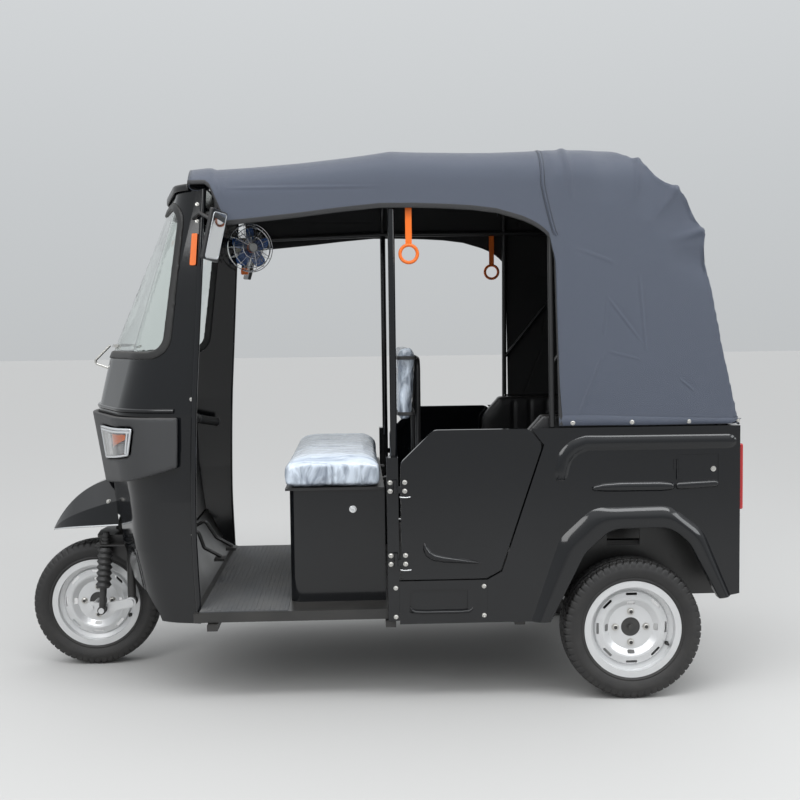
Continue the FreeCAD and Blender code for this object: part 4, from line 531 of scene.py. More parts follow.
def glass_material(name, colour):
    """Clear glass that takes a little dust, so that it isn't a perfect mirror."""
    made, tree, shader = new_material(name)
    shader.inputs["Base Color"].default_value = (*colour, 1)
    shader.inputs["Transmission Weight"].default_value = 1
    shader.inputs["IOR"].default_value = 1.45
    where = placed(tree, "TexCoord").outputs["Object"]
    film = placed(tree, "TexNoise", {"Vector": where, "Scale": 5, "Detail": 6})
    spread = placed(tree, "MapRange", {"From Min": 0.4, "To Max": 0.05, "Value": film.outputs["Fac"]})
    tree.links.new(spread.outputs["Result"], shader.inputs["Roughness"])
    return made


paint_node(glass_material("windscreen_glass", (0.93, 0.97, 0.95)), "windscreen")


# Cab trim: a round edge bar follows each rear edge of the cowl from sill to roof,
# with bolts along the pillar and a bright bead on the mudguard's lower edge.
def run_piece(name, look, runs, thickness, body, closed=False, sides=3, smooth=True, swell=None):
    """Round trim, such as a bar, piping or bead, along one or more paths."""
    curve = bpy.data.curves.new(name, "CURVE")
    curve.dimensions = "3D"
    curve.bevel_depth = thickness
    curve.bevel_resolution = sides
    curve.use_fill_caps = True
    for points in runs:
        line = curve.splines.new("NURBS" if smooth else "POLY")
        line.points.add(len(points) - 1)
        for index, spot in enumerate(points):
            line.points[index].co = (*spot, 1)
            if swell:
                line.points[index].radius = swell[index]
        line.use_cyclic_u = closed
        if smooth:
            line.order_u = 3
            line.use_endpoint_u = not closed
    curve.materials.append(look)
    piece = bpy.data.objects.new(name, curve)
    scene.collection.objects.link(piece)
    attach(piece, body)
    return piece


def between(table, place):
    """A straight-line reading of a table of pairs, rising or falling."""
    rows = sorted(table)
    if place <= rows[0][0]:
        return rows[0][1]
    for (first, low), (second, high) in zip(rows, rows[1:]):
        if place <= second:
            return low + (high - low) * (place - first) / (second - first)
    return rows[-1][1]


chrome = finished_material(
    "chrome_plate", (0.78, 0.79, 0.80), (0.7, 0.71, 0.72), (14, 0.4), (0.10, 0.06), (400, 0.05),
    dust=0.05, metallic=1.0)
CAB_EDGE = (
    # height, x and half width of the cowl's rear edge
    (0.290, 0.587, 0.545), (0.530, 0.598, 0.548), (0.713, 0.598, 0.550), (1.020, 0.590, 0.548),
    (1.206, 0.578, 0.545), (1.753, 0.545, 0.520), (1.800, 0.542, 0.517),
)
edge_runs = [[(x + 0.004, side * (half + 0.006), height) for height, x, half in CAB_EDGE] for side in (1, -1)]
run_piece("cab_edge_bars", gloss_black, edge_runs, 0.0100, BODY, sides=5)
cab_skin = skin_of("front_cowl")
nose_bead = []
for step in range(61):
    turn = math.radians(-83 + 166 * step / 60)
    way = Vector((math.cos(turn), math.sin(turn), 0))
    spot, out = landed(cab_skin, Vector((0.60, 0, 1.034)) + way * 1.2, -way)
    nose_bead.append(spot + way * 0.001)
run_piece("nose_bead", gloss_black, [nose_bead], 0.0085, BODY, sides=5)
pillar_places = ((0.571, 1.751), (0.572, 1.693), (0.587, 1.614), (0.602, 1.075), (0.607, 0.600))
add_bolts("cab_pillar_bolts", from_sides(cab_skin, pillar_places), 0.0052, 0.005, 0.0068)

mudguard = NODES["front_fender"].data
lower_edge = {}
for vertex in mudguard.vertices:
    place = vertex.co
    station = round(place.x / 0.02)
    if place.y > 0 and (station not in lower_edge or place.z < lower_edge[station].z):
        lower_edge[station] = place.copy()
guard_skin = skin_of("front_fender")
bead_line = []
for step in range(19):
    x = 0.945 + (1.228 - 0.945) * step / 18
    height = between(sorted((spot.x, spot.z) for spot in lower_edge.values()), x) + 0.004
    spot, out = landed(guard_skin, (x, 0.5, height), (0, -1, 0))
    if spot is not None:
        bead_line.append(spot + Vector((0, 0.0005, -0.002)))
tip = Vector((1.2375, 0.0, bead_line[-1].z))
bead_line.append(tip)
bead_line += [Vector((spot.x, -spot.y, spot.z)) for spot in reversed(bead_line[:-1])]
run_piece("mudguard_edge_bead", chrome, [bead_line], 0.0034, BODY)
add_bolts("mudguard_bolts", from_sides(guard_skin, [(0.985, 0.665)]), 0.007, 0.006, 0.009, corners=6)


# Cab mouldings: the lamp band, the screen's thick rubber seal and the visor all
# have softly rounded edges, as moulded parts do.
def softened(name, node, look, voxel, passes, body):
    """A rigid moulding's own copy with its edges rounded a few millimetres."""
    piece = NODES[node].copy()
    piece.data = NODES[node].data.copy()
    piece.name = name
    scene.collection.objects.link(piece)
    piece.data.materials.clear()
    piece.data.materials.append(look)
    remesh = piece.modifiers.new("remesh", "REMESH")
    remesh.mode = "VOXEL"
    remesh.voxel_size = voxel
    remesh.use_smooth_shade = True
    relax = piece.modifiers.new("relax", "SMOOTH")
    relax.factor = 0.5
    relax.iterations = passes
    meshed = bpy.data.meshes.new_from_object(piece.evaluated_get(bpy.context.evaluated_depsgraph_get()))
    piece.modifiers.clear()
    piece.data = meshed
    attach(piece, body)
    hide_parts(node)
    return piece


softened("lamp_band_moulding", "headlamp_band", grey_plastic, 0.0066, 5, BODY)
softened("windscreen_seal_moulding", "windscreen_seal", seal_rubber, 0.0052, 4, BODY)
softened("sun_visor_moulding", "sun_visor", visor_plastic, 0.0048, 5, BODY)


# Headlamps: each has a clear moulded lens in a bright frame, over a ribbed
# reflector, an upright bright bar and an orange wedge for the turn signal.
def coloured_material(name, colour, second, roughness, coat=0.0):
    """Moulded coloured plastic."""
    return finished_material(name, colour, second, (30, 0.4), (roughness, 0.08), (900, 0.2), coat=coat)


orange_plastic = coloured_material("orange_plastic", (0.80, 0.16, 0.012), (0.65, 0.10, 0.008), 0.32)
LAMP_CORNERS = ((0.820, 0.9700), (0.8365, 0.8800), (0.9610, 0.8500), (0.9755, 0.9660))
lamp_skin = skin_of("headlamps")


def lamp_place(across, rise, depth, side):
    """A place in a lamp: across from its rear to the nose, rise from its foot, depth behind its face."""
    top_rear, low_rear, low_front, top_front = [Vector(corner) for corner in LAMP_CORNERS]
    flat = low_rear.lerp(low_front, across).lerp(top_rear.lerp(top_front, across), rise)
    spot, out = landed(lamp_skin, (flat.x, 0.9, flat.y), (0, -1, 0))
    if spot is None:
        spot, out, face, distance = lamp_skin.find_nearest(Vector((flat.x, 0.4, flat.y)))
    if abs(out.z) > 0.6 or out.y < 0.3:
        out = Vector((0.86, 0.5, 0.05)).normalized()
    place = spot - out * depth
    return Vector((place.x, side * place.y, place.z))


def lamp_patch(name, look, steps, rule, thick=0.0):
    """A curved patch in both lamps; rule(u, v) gives its place across, its rise and its depth."""
    vertices, faces = [], []
    for side in (1, -1):
        start = len(vertices)
        for row in range(steps[1] + 1):
            for column in range(steps[0] + 1):
                vertices.append(lamp_place(*rule(column / steps[0], row / steps[1]), side))
        for row in range(steps[1]):
            for column in range(steps[0]):
                here = start + row * (steps[0] + 1) + column
                cell = (here, here + 1, here + steps[0] + 2, here + steps[0] + 1)
                faces.append(cell if side == 1 else cell[::-1])
    piece = add_piece(name, look, vertices, faces, BODY)
    if thick:
        wall = piece.modifiers.new("wall", "SOLIDIFY")
        wall.thickness = thick
        wall.offset = -1
    return piece


def reflector_bowl(u, v):
    """The reflector sinks behind the lens and is ribbed from side to side."""
    edge = min(u, 1 - u, v, 1 - v)
    return u, v, 0.003 + 0.013 * min(1, edge / 0.12) + 0.0008 * math.sin(v * 95)


def signal_wedge(u, v):
    """The orange signal's foot drops towards the nose, and its edges are turned down."""
    foot = 0.60 - 0.26 * u
    edge = min(18 * u, 18 - 18 * u, 10 * v, 10 - 10 * v)
    return 0.16 + 0.48 * u, foot + (0.80 - foot) * v, 0.0075 - 0.0025 * min(1, edge / 1.5)


reflector_grey = finished_material(
    "reflector_grey", (0.30, 0.305, 0.31), (0.22, 0.22, 0.225), (40, 0.4), (0.22, 0.05), (300, 0.1),
    dust=0.0, metallic=0.7)
lamp_frame = finished_material(
    "lamp_frame_bright", (0.62, 0.64, 0.66), (0.55, 0.56, 0.58), (20, 0.3), (0.20, 0.05), (300, 0.1),
    dust=0.05, metallic=0.4)
lens_clear = glass_material("headlamp_lens_clear", (0.98, 0.985, 0.99))
reflector = lamp_patch("headlamp_reflectors", reflector_grey, (40, 56), reflector_bowl)
lamp_patch("headlamp_upright_bars", lamp_frame, (4, 14),
           lambda u, v: (0.66 + 0.12 * u, 0.08 + 0.72 * v, 0.006), 0.003)
lamp_patch("headlamp_signal_wedges", orange_plastic, (18, 10), signal_wedge)
lamp_patch("headlamp_clear_lenses", lens_clear, (30, 20), lambda u, v: (u, v, 0.0005), 0.0018)
rim_runs = []
for side in (1, -1):
    loop = [lamp_place(step / 10, 0, 0.001, side) for step in range(11)]
    loop += [lamp_place(1, step / 8, 0.001, side) for step in range(1, 9)]
    loop += [lamp_place(1 - step / 10, 1, 0.001, side) for step in range(1, 11)]
    loop += [lamp_place(0, 1 - step / 8, 0.001, side) for step in range(1, 8)]
    rim_runs.append(loop)
run_piece("headlamp_frames", lamp_frame, rim_runs, 0.0042, BODY, closed=True, smooth=False)
inner_bars = (
    [(0.02 + 0.08 * step, 0.90) for step in range(13)], [(0.075, 0.06 + 0.086 * step) for step in range(11)])
inner_runs = [
    [lamp_place(across, rise, 0.003, side) for across, rise in bar] for bar in inner_bars for side in (1, -1)]
run_piece("headlamp_inner_frames", lamp_frame, inner_runs, 0.0058, BODY)
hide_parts("headlamps")


# Wheel arch flares: a broad rounded lip pressed from sheet, bolted round each rear
# wheel arch. Its top edge rolls into the panel and its face leans in to the tyre.
SIDES = (("left", 1), ("right", -1))
REAR_AXLE_X = -0.931
BODY_SIDE = 0.640
ARCH_INNER = (
    (-0.294, 0.360), (-0.189, 0.557), (-0.124, 0.612), (0.083, 0.612), (0.176, 0.529), (0.297, 0.290))
ARCH_OUTER = (
    (-0.337, 0.367), (-0.239, 0.599), (-0.124, 0.687), (0.147, 0.684), (0.261, 0.580), (0.362, 0.290))
FLARE_BEND = 0.105
FLARE_STATIONS = 90
FLARE_ROLL = 0.52
FLARE_STAND = 0.021


def rounded_path(corners, radius, steps=8):
    """A path through corners, each rounded as far as its two sides allow."""
    path = [Vector(corners[0])]
    for before, corner, after in zip(corners, corners[1:], corners[2:]):
        before, corner, after = Vector(before), Vector(corner), Vector(after)
        back, on = before - corner, after - corner
        reach = min(radius / math.tan(back.angle(on) / 2), back.length * 0.48, on.length * 0.48)
        start, end = corner + back.normalized() * reach, corner + on.normalized() * reach
        for step in range(steps + 1):
            share = step / steps
            path.append(start.lerp(corner, share).lerp(corner.lerp(end, share), share))
    path.append(Vector(corners[-1]))
    return path


def resampled(points, count):
    """The same path with count + 1 evenly spaced points."""
    lengths = [0]
    for first, second in zip(points, points[1:]):
        lengths.append(lengths[-1] + (second - first).length)
    out, place = [], 0
    for step in range(count + 1):
        target = lengths[-1] * step / count
        while place < len(points) - 2 and lengths[place + 1] < target:
            place += 1
        span = lengths[place + 1] - lengths[place]
        out.append(points[place].lerp(points[place + 1], (target - lengths[place]) / span if span else 0))
    return out


def add_lofted(name, look, sections, body):
    """A closed form through closed sections of equal counts, capped at both ends."""
    vertices, faces = [], []
    for section in sections:
        start, count = len(vertices), len(section[0])
        for ring in section:
            vertices += ring
        faces += tube_faces(len(section), count, start)
        faces += [tuple(range(start, start + count)), tuple(range(len(vertices) - count, len(vertices)))]
    piece = add_piece(name, look, vertices, faces, body)
    outward(piece)
    piece.data.set_sharp_from_angle(angle=math.radians(50))
    return piece


def flare_height(share):
    """How far the flare stands off the panel, from its outer edge to its inner lip."""
    if share < FLARE_ROLL:
        return FLARE_STAND * (1 - (1 - share / FLARE_ROLL) ** 1.7)
    if share < 0.95:
        return FLARE_STAND - 0.005 * ((share - FLARE_ROLL) / (1 - FLARE_ROLL)) ** 2
    return FLARE_STAND - 0.0042 - 0.0045 * ((share - 0.95) / 0.05) ** 2


flare_outer = resampled(rounded_path(ARCH_OUTER, FLARE_BEND), FLARE_STATIONS)
flare_inner = resampled(rounded_path(ARCH_INNER, FLARE_BEND), FLARE_STATIONS)
flare_shares = [(step / 20) ** 1.6 * 0.95 for step in range(21)] + [0.97, 0.985, 1.0]
flare_ring = [(share, flare_height(share)) for share in flare_shares] + [(1.0, 0), (0.66, 0), (0.33, 0)]
for label, side in SIDES:
    rings = []
    for outer, inner in zip(flare_outer, flare_inner):
        ring = []
        for share, stand in flare_ring:
            place = outer.lerp(inner, share)
            ring.append(Vector((REAR_AXLE_X + place.x, side * (BODY_SIDE + 0.0003 + stand), place.y)))
        rings.append(ring)
    flare = add_lofted("arch_flare_pressing_" + label, gloss_black, [rings], BODY)
    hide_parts("arch_flare_" + label)


# Pressed beads: rounded ridges that stiffen the body sides, the doors and the
# sills, drawn out of the same sheet and under the same paint.
def ridge_rings(line, height, side, taper, base=BODY_SIDE):
    """Sections of one ridge along (x, z, width) places; it dies away at both ends."""
    paths = resampled([Vector((x, z)) for x, z, width in line], 48)
    lengths = [0]
    for (x, z, width), (next_x, next_z, next_width) in zip(line, line[1:]):
        lengths.append(lengths[-1] + math.hypot(next_x - x, next_z - z))
    widths = [(length / lengths[-1], width) for length, (x, z, width) in zip(lengths, line)]
    rings = []
    for index, place in enumerate(paths):
        share = index / (len(paths) - 1)
        along = (paths[min(index + 1, len(paths) - 1)] - paths[max(index - 1, 0)]).normalized()
        across = Vector((-along.y, along.x))
        width = between(widths, share)
        fade = min(1, math.sqrt(min(share, 1 - share) / taper))
        ring = []
        for step in range(-8, 9):
            reach = step / 8
            spot = place + across * reach * width / 2 * (0.35 + 0.65 * fade)
            rise = height * fade * (1 - reach * reach)
            ring.append(Vector((spot.x, side * (base + rise - 0.0004), spot.y)))
        ring.append(Vector((place.x, side * (base - 0.0035), place.y)))
        rings.append(ring)
    return rings


SIDE_RIDGES = (
    # height, then (x, z, width) places behind or before the rear axle
    (0.0095, [(0.259, 0.778, 0.047), (0.253, 0.828, 0.050), (0.240, 0.866, 0.054),
              (0.212, 0.893, 0.056), (0.172, 0.9085, 0.054), (0.10, 0.9085, 0.052),
              (-0.34, 0.9085, 0.050), (-0.356, 0.9085, 0.047)]),
    (0.0090, [(0.150, 0.7515, 0.020), (0.110, 0.7545, 0.030), (0.050, 0.7555, 0.034), (-0.09, 0.7550, 0.034),
              (-0.130, 0.7545, 0.028), (-0.140, 0.7540, 0.020)]),
    (0.0090, [(-0.142, 0.7555, 0.020), (-0.152, 0.7560, 0.028), (-0.210, 0.7585, 0.028),
              (-0.280, 0.7620, 0.026), (-0.294, 0.7625, 0.018)]),
)
ridge_sections = []
for side in (1, -1):
    for height, places in SIDE_RIDGES:
        line = [(REAR_AXLE_X + x, z, width) for x, z, width in places]
        ridge_sections.append(ridge_rings(line, height, side, 0.03))
add_lofted("side_panel_pressed_beads", gloss_black, ridge_sections, BODY)
SILL_LIP = [(-0.148, 0.349, 0.008), (-0.153, 0.338, 0.011), (-0.164, 0.3315, 0.013), (-0.200, 0.3295, 0.013),
            (-0.330, 0.3295, 0.013), (-0.352, 0.3315, 0.013), (-0.362, 0.338, 0.011), (-0.367, 0.349, 0.008)]
sill_sections = [ridge_rings(SILL_LIP, 0.0065, side, 0.10, BODY_SIDE - 0.0015) for side in (1, -1)]
add_lofted("sill_pressed_lips", gloss_black, sill_sections, BODY)
DOOR_RIDGE = [
    (-0.199, 0.572, 0.010), (-0.202, 0.553, 0.019), (-0.212, 0.534, 0.024), (-0.232, 0.5215, 0.025),
    (-0.262, 0.5150, 0.023), (-0.310, 0.5095, 0.019), (-0.360, 0.5040, 0.013), (-0.396, 0.5000, 0.006)]
DOORS = (("left", 1, "left_door"), ("right", -1, "right_door"))
for label, side, door_body in DOORS:
    ridge = ridge_rings(DOOR_RIDGE, 0.0085, side, 0.10)
    add_lofted("door_pressed_bead_" + label, gloss_black, [ridge], door_body)


# Door fittings: black strap hinges, held to each post and door by bright bolts,
# and bright bolts at the corners of each sill panel.
HINGE_FEET = (0.494, 0.747)
HINGE_LIP = (
    (-0.152, 0.6425, 0.0130), (-0.146, 0.6445, 0.0145), (-0.122, 0.6445, 0.0145), (-0.116, 0.6425, 0.0130))
for label, side, door_body in DOORS:
    for part, node, x, body in (
        ("post", "door_posts", -0.0825, BODY), ("door", "door_" + label, -0.133, door_body),
    ):
        places = [(x, foot + rise) for foot in HINGE_FEET for rise in (0.008, 0.038)]
        bolts = [(spot, (0, side, 0)) for spot, out in from_sides(skin_of(node), places, (side,))]
        add_bolts(f"hinge_{part}_bolts_{label}", bolts, 0.0062, 0.006, 0.0085, body=body)
    lip_runs = [[(x, side * y, foot - drop) for x, y, drop in HINGE_LIP] for foot in HINGE_FEET]
    run_piece("hinge_lips_" + label, chrome, lip_runs, 0.0024, door_body)

sill_skin = skin_of("rocker_left", "rocker_right", "door_posts", "side_panel_left", "side_panel_right")
sill_places = ((-0.098, 0.417), (-0.098, 0.316), (-0.404, 0.418), (-0.404, 0.316))
sill_bolts = [(spot, (0, math.copysign(1, spot.y), 0)) for spot, out in from_sides(sill_skin, sill_places)]
add_bolts("rocker_bolts", sill_bolts, 0.0060, 0.0055, 0.0080)


# Body side fittings: a round lock on the charging lid, red moulded tail lamps that
# small screws hold to the rear corners, and orange reflectors.
red_lens = coloured_material("red_lens_plastic", (0.45, 0.008, 0.010), (0.30, 0.004, 0.006), 0.12, 0.8)
paint_node(red_lens, "tail_lamps")
paint_node(orange_plastic, "grab_handles", "side_reflectors")
flap_skin = skin_of("charge_flap")
spot, out = landed(flap_skin, (-1.206, 0.9, 0.813), (0, -1, 0))
add_bolts("charge_lid_lock", [(spot, (0, 1, 0))], 0.0075, 0.003, 0.0095, body="charge_lid")
lamp_screws = [((-1.3155, side * 0.588, z), (-1, 0, 0)) for side in (1, -1) for z in (0.684, 0.881)]
add_bolts("tail_lamp_screws", lamp_screws, 0.0038, 0.002)
divide_runs = [[(-1.3150, side * (0.552 + 0.072 * step / 6), 0.782) for step in range(7)] for side in (1, -1)]
run_piece("tail_lamp_dividers", chrome, divide_runs, 0.0016, BODY)


# Seat box lock: a bright round barrel in the box's side. The lid above it is a
# satin black pressing.
paint_node(satin_black, "seat_lid")
box_skin = skin_of("seat_box")
spot, out = landed(box_skin, (0.047, 0.9, 0.668), (0, -1, 0))
add_heads("seat_box_lock", chrome, [(spot, (0, 1, 0))], 0.0105, 0.006, BODY, HEAD_SIDES, 0.013)


# Handlebar fittings: ribbed rubber grips, bent alloy levers on their perches, a
# round instrument on the shroud, and the switch boxes inboard of the grips.
RAKE = math.radians(22)
CLAMP = Vector((0.958, 0, 0.560)) + Vector((-math.sin(RAKE), 0, math.cos(RAKE))) * 0.382
GAUGE_WAY = Vector((-0.35, 0, 0.94))
LEVER = (
    (0.002, 0, 0), (0.019, 0.006, -0.004), (0.014, 0.028, -0.008), (-0.018, 0.062, -0.014),
    (-0.050, 0.092, -0.020))
STEER = "steering_assembly"


def turned_piece(name, look, start, way, rings, body, count=28):
    """A turned piece: rings are (along, radius) from its start."""
    way, first, second = frame_of(way)
    vertices = []
    for rise, radius in rings:
        vertices += round_points(Vector(start) + way * rise, first, second, radius, count)
    ends = [tuple(range(count)), tuple(range(len(vertices) - count, len(vertices)))]
    piece = add_piece(name, look, vertices, tube_faces(len(rings), count) + ends, body)
    outward(piece)
    piece.data.set_sharp_from_angle(angle=math.radians(40))
    return piece


for label, side in SIDES:
    end = CLAMP + Vector((-0.176, side * 0.370, 0.012))
    knee = CLAMP + Vector((-0.070, side * 0.260, 0.040))
    inward = (knee - end).normalized()
    rings = [(-0.0095, 0.012), (-0.0095, 0.0195), (-0.006, 0.0205), (-0.002, 0.0185)]
    for rib in range(22):
        rings += [(rib * 0.0042, 0.0176), (rib * 0.0042 + 0.0021, 0.0186)]
    rings += [(0.094, 0.0195), (0.098, 0.0205), (0.101, 0.018)]
    turned_piece("handle_grip_" + label, soft_rubber, end, inward, rings, STEER)
    box_start = end + inward * 0.103
    turned_piece("switch_box_" + label, dash_plastic, box_start, inward, [
        (0, 0.018), (0.001, 0.021), (0.004, 0.0225), (0.030, 0.0225), (0.033, 0.021), (0.034, 0.013)],
        STEER)
    perch = end + inward * 0.142
    lever = [perch + Vector((x, side * y, z)) for x, y, z in LEVER]
    run_piece("brake_lever_" + label, bright_steel, [lever], 0.0048, STEER,
              swell=[1.5, 1.3, 1, 0.9, 1.2])

gauge = CLAMP + Vector((0.004, 0, 0.0305))
turned_piece("instrument_rim", dash_plastic, gauge, GAUGE_WAY, [
    (-0.004, 0.030), (0.000, 0.034), (0.008, 0.035), (0.010, 0.033), (0.009, 0.0305), (0.006, 0.030)],
    STEER, 40)
gauge_face = finished_material(
    "instrument_face", (0.02, 0.02, 0.022), (0.035, 0.036, 0.04), (60, 0.5), (0.15, 0.05), (100, 0.05),
    dust=0.05, coat=0.7)
turned_piece("instrument_face", gauge_face, gauge + GAUGE_WAY * 0.0068, GAUGE_WAY, [
    (0, 0.0295), (0.0006, 0.0295)], STEER, 40)


# Mirrors: a dark moulded shell on each side, with a silvered glass let into its
# rear face and a thin bright rim round the glass.
mirror_silver = finished_material(
    "mirror_silver", (0.80, 0.82, 0.83), (0.76, 0.78, 0.8), (4, 0.4), (0.03, 0.02), (50, 0.0),
    dust=0.05, metallic=1.0)
paint_node(visor_plastic, "mirrors")
MIRROR_BEND = 0.012
for label, side in SIDES:
    low, high = Vector((0.518, side * 0.640, 1.548)), Vector((0.480, side * 0.640, 1.716))
    rise = (high - low).normalized()
    turn = math.radians(17)
    wide = Vector((side * math.sin(turn), math.cos(turn), 0))
    away = wide.cross(rise).normalized()
    if away.x > 0:
        away = -away
    middle = low.lerp(high, 0.5)
    half_wide, half_high = 0.0515, (high - low).length / 2 - 0.0085
    loop = []
    for corner, (across, up) in enumerate(((1, 1), (-1, 1), (-1, -1), (1, -1))):
        for step in range(7):
            bend = math.pi / 2 * (corner + step / 6)
            loop.append((across * (half_wide - MIRROR_BEND) + MIRROR_BEND * math.cos(bend),
                         up * (half_high - MIRROR_BEND) + MIRROR_BEND * math.sin(bend)))
    front = [middle + wide * across + rise * up + away * 0.0078 for across, up in loop]
    back = [middle + wide * across + rise * up + away * 0.0060 for across, up in loop]
    count = len(loop)
    faces = [tuple(range(count)), tuple(range(2 * count - 1, count - 1, -1))] + tube_faces(2, count)
    glass = add_piece(
        "mirror_glass_" + label, mirror_silver, front + back, faces, BODY, smooth=False)
    outward(glass)
    run_piece("mirror_rim_" + label, lamp_frame, [front], 0.0016, BODY, closed=True, smooth=False)


# Fan: a beige motor, black stem and orange clamp, an orange cap on the hub of the
# blue blades, and a cage of bright wire with a plain white cap.
blue_plastic = coloured_material("blue_plastic", (0.035, 0.12, 0.38), (0.025, 0.09, 0.30), 0.22, 0.4)
paint_node(chrome, "fan_stand")
paint_node(blue_plastic, "fan_blades")
FAN = Vector((0.480, -0.420, 1.673))
FAN_WAY = Vector((-0.5, 0.866025, 0))
motor_beige = coloured_material("motor_beige_plastic", (0.52, 0.47, 0.38), (0.44, 0.40, 0.32), 0.38)
plain_white = coloured_material("plain_white_plastic", (0.72, 0.72, 0.70), (0.64, 0.64, 0.62), 0.34)
turned_piece("fan_motor_cover", motor_beige, FAN, FAN_WAY, [
    (-0.0855, 0.012), (-0.0855, 0.024), (-0.082, 0.0300), (-0.076, 0.0332), (-0.050, 0.0335),
    (-0.049, 0.0326), (-0.046, 0.0326), (-0.045, 0.0335), (-0.026, 0.0335), (-0.0215, 0.0325)],
    BODY, 40)
fan_back = FAN + FAN_WAY * -0.060
turned_piece("fan_stem_cover", satin_black, (fan_back.x, fan_back.y, 1.636), (0, 0, -1), [
    (0, 0.0128), (0.040, 0.0128), (0.041, 0.0145), (0.044, 0.0145), (0.045, 0.0128)], BODY)
turned_piece("fan_clamp", orange_plastic, (fan_back.x, fan_back.y, 1.590), (0, 0, -1), [
    (0, 0.013), (0.002, 0.0165), (0.022, 0.0170), (0.027, 0.0150), (0.0295, 0.013)], BODY)
turned_piece("fan_hub_cap", orange_plastic, FAN, FAN_WAY, [
    (0.0185, 0.0225), (0.0205, 0.0222), (0.0235, 0.0190), (0.0245, 0.0140)],
    "fan_rotor", 32)
guard_way, guard_first, guard_second = frame_of(FAN_WAY)
guard_runs = []
for wire in range(48):
    turn = 2 * math.pi * wire / 48
    way = guard_first * math.cos(turn) + guard_second * math.sin(turn)
    guard_runs.append([FAN + guard_way * 0.0345 + way * 0.018, FAN + guard_way * 0.034 + way * 0.045,
                       FAN + guard_way * 0.027 + way * 0.066, FAN + guard_way * 0.012 + way * 0.077])
    guard_runs.append([FAN - guard_way * 0.024 + way * 0.030, FAN - guard_way * 0.022 + way * 0.055,
                       FAN - guard_way * 0.012 + way * 0.072, FAN + guard_way * 0.004 + way * 0.0785])
run_piece("fan_guard_wires", bright_steel, guard_runs, 0.0007, BODY, sides=1)
turned_piece("fan_guard_cap", plain_white, FAN, FAN_WAY, [
    (0.0355, 0.0185), (0.0366, 0.0180), (0.0372, 0.0160), (0.0372, 0.010)], BODY, 32)


# Hood: one continuous cloth, coated slate grey outside and dark inside, stretched
# over the bows. It is sewn to a bound edge round each doorway, rolled over the
# front bow, and pressed on to studs along the body's top edge.
def build_cloth_group():
    """Coated cloth: crossed threads, a pebbled coat and soft creases, as one height."""
    group = bpy.data.node_groups.new("coated_cloth_relief", "ShaderNodeTree")
    add_sockets(group, "INPUT", (
        ("Thread Scale", 900), ("Thread", 0.15), ("Pebble Scale", 420), ("Pebble", 0.25),
        ("Crease Scale", 5), ("Crease", 1.0)))
    add_sockets(group, "OUTPUT", (("Height", 0),))
    enter = group.nodes.new("NodeGroupInput").outputs
    leave = group.nodes.new("NodeGroupOutput").inputs
    where = placed(group, "TexCoord").outputs["Object"]
    total = None
    for kind, result, name, values, settings in (
        ("TexWave", "Fac", "Thread", {}, {"bands_direction": "X"}),
        ("TexWave", "Fac", "Thread", {}, {"bands_direction": "Z"}),
        ("TexVoronoi", "Distance", "Pebble", {}, {}),
        ("TexNoise", "Fac", "Crease", {"Detail": 3, "Distortion": 0.6}, {}),
    ):
        feeds = {"Vector": where, "Scale": enter[name + " Scale"], **values}
        pattern = placed(group, kind, feeds, **settings).outputs[result]
        part = reckoned(group, "MULTIPLY", pattern, enter[name])
        total = reckoned(group, "ADD", total, part) if total else part
    group.links.new(total, leave["Height"])
    return group


CLOTH_GROUP = build_cloth_group()


def cloth_material(name, colour, second, roughness, thread, pebble, crease, dust=0.15, sheen=0.0):
    """A finished material with the coated cloth's height added to it."""
    made = finished_material(name, colour, second, (2.2, 0.8), (roughness, 0.12), (600, 0.2), dust=dust)
    relief = placed(made.node_tree, "Group", node_tree=CLOTH_GROUP)
    for socket, value in (
        ("Thread", thread), ("Pebble", pebble), ("Crease Scale", crease[0]), ("Crease", crease[1]),
    ):
        relief.inputs[socket].default_value = value
    raised(made, relief.outputs["Height"])
    if sheen:
        shader = made.node_tree.nodes["Principled BSDF"]
        shader.inputs["Sheen Weight"].default_value = sheen
        shader.inputs["Sheen Roughness"].default_value = 0.4
    return made


hood_cloth = cloth_material(
    "hood_coated_cloth", (0.047, 0.058, 0.086), (0.058, 0.071, 0.103), 0.42, 0.25, 0.35, (4, 4.0),
    dust=0.05, sheen=0.20)
hood_lining = cloth_material(
    "hood_lining_black", (0.012, 0.012, 0.013), (0.018, 0.018, 0.019), 0.8, 0.6, 0.1, (5, 2.0), dust=0.05)
hood_binding = cloth_material(
    "hood_binding_black", (0.012, 0.0125, 0.014), (0.02, 0.02, 0.022), 0.5, 0.5, 0.3, (9, 1.0), dust=0.1)

HOOD_HEM = 0.972
HOOD_CROWN = 1.972
HOOD_FRONT_X = 0.598
HOOD_DOORWAY_X = -0.6565
HOOD_REAR_X = -1.2995
HOOD_LEAN = 0.02104
HOOD_ARCHES = (
    # x, half width at the hem, half width and height of the shoulder, crown height
    (HOOD_FRONT_X, 0.588, 0.556, 1.862, 1.908),
    (-0.107, 0.636, 0.602, 1.925, HOOD_CROWN),
)
HOOD_BACK = (
    # x and z down the back, from the roof over three hoops to the hem
    (-0.60, 1.972), (-0.735, 1.968), (-0.880, 1.930), (-0.985, 1.899), (-1.012, 1.884), (-1.040, 1.852),
    (-1.069, 1.832), (-1.110, 1.812), (-1.140, 1.790), (-1.158, 1.758), (-1.178, 1.712), (-1.205, 1.665),
    (-1.214, 1.640), (-1.2165, 1.554), (-1.236, 1.400), (-1.252, 1.255), (-1.277, 1.110), (-1.2995, 0.972),
)
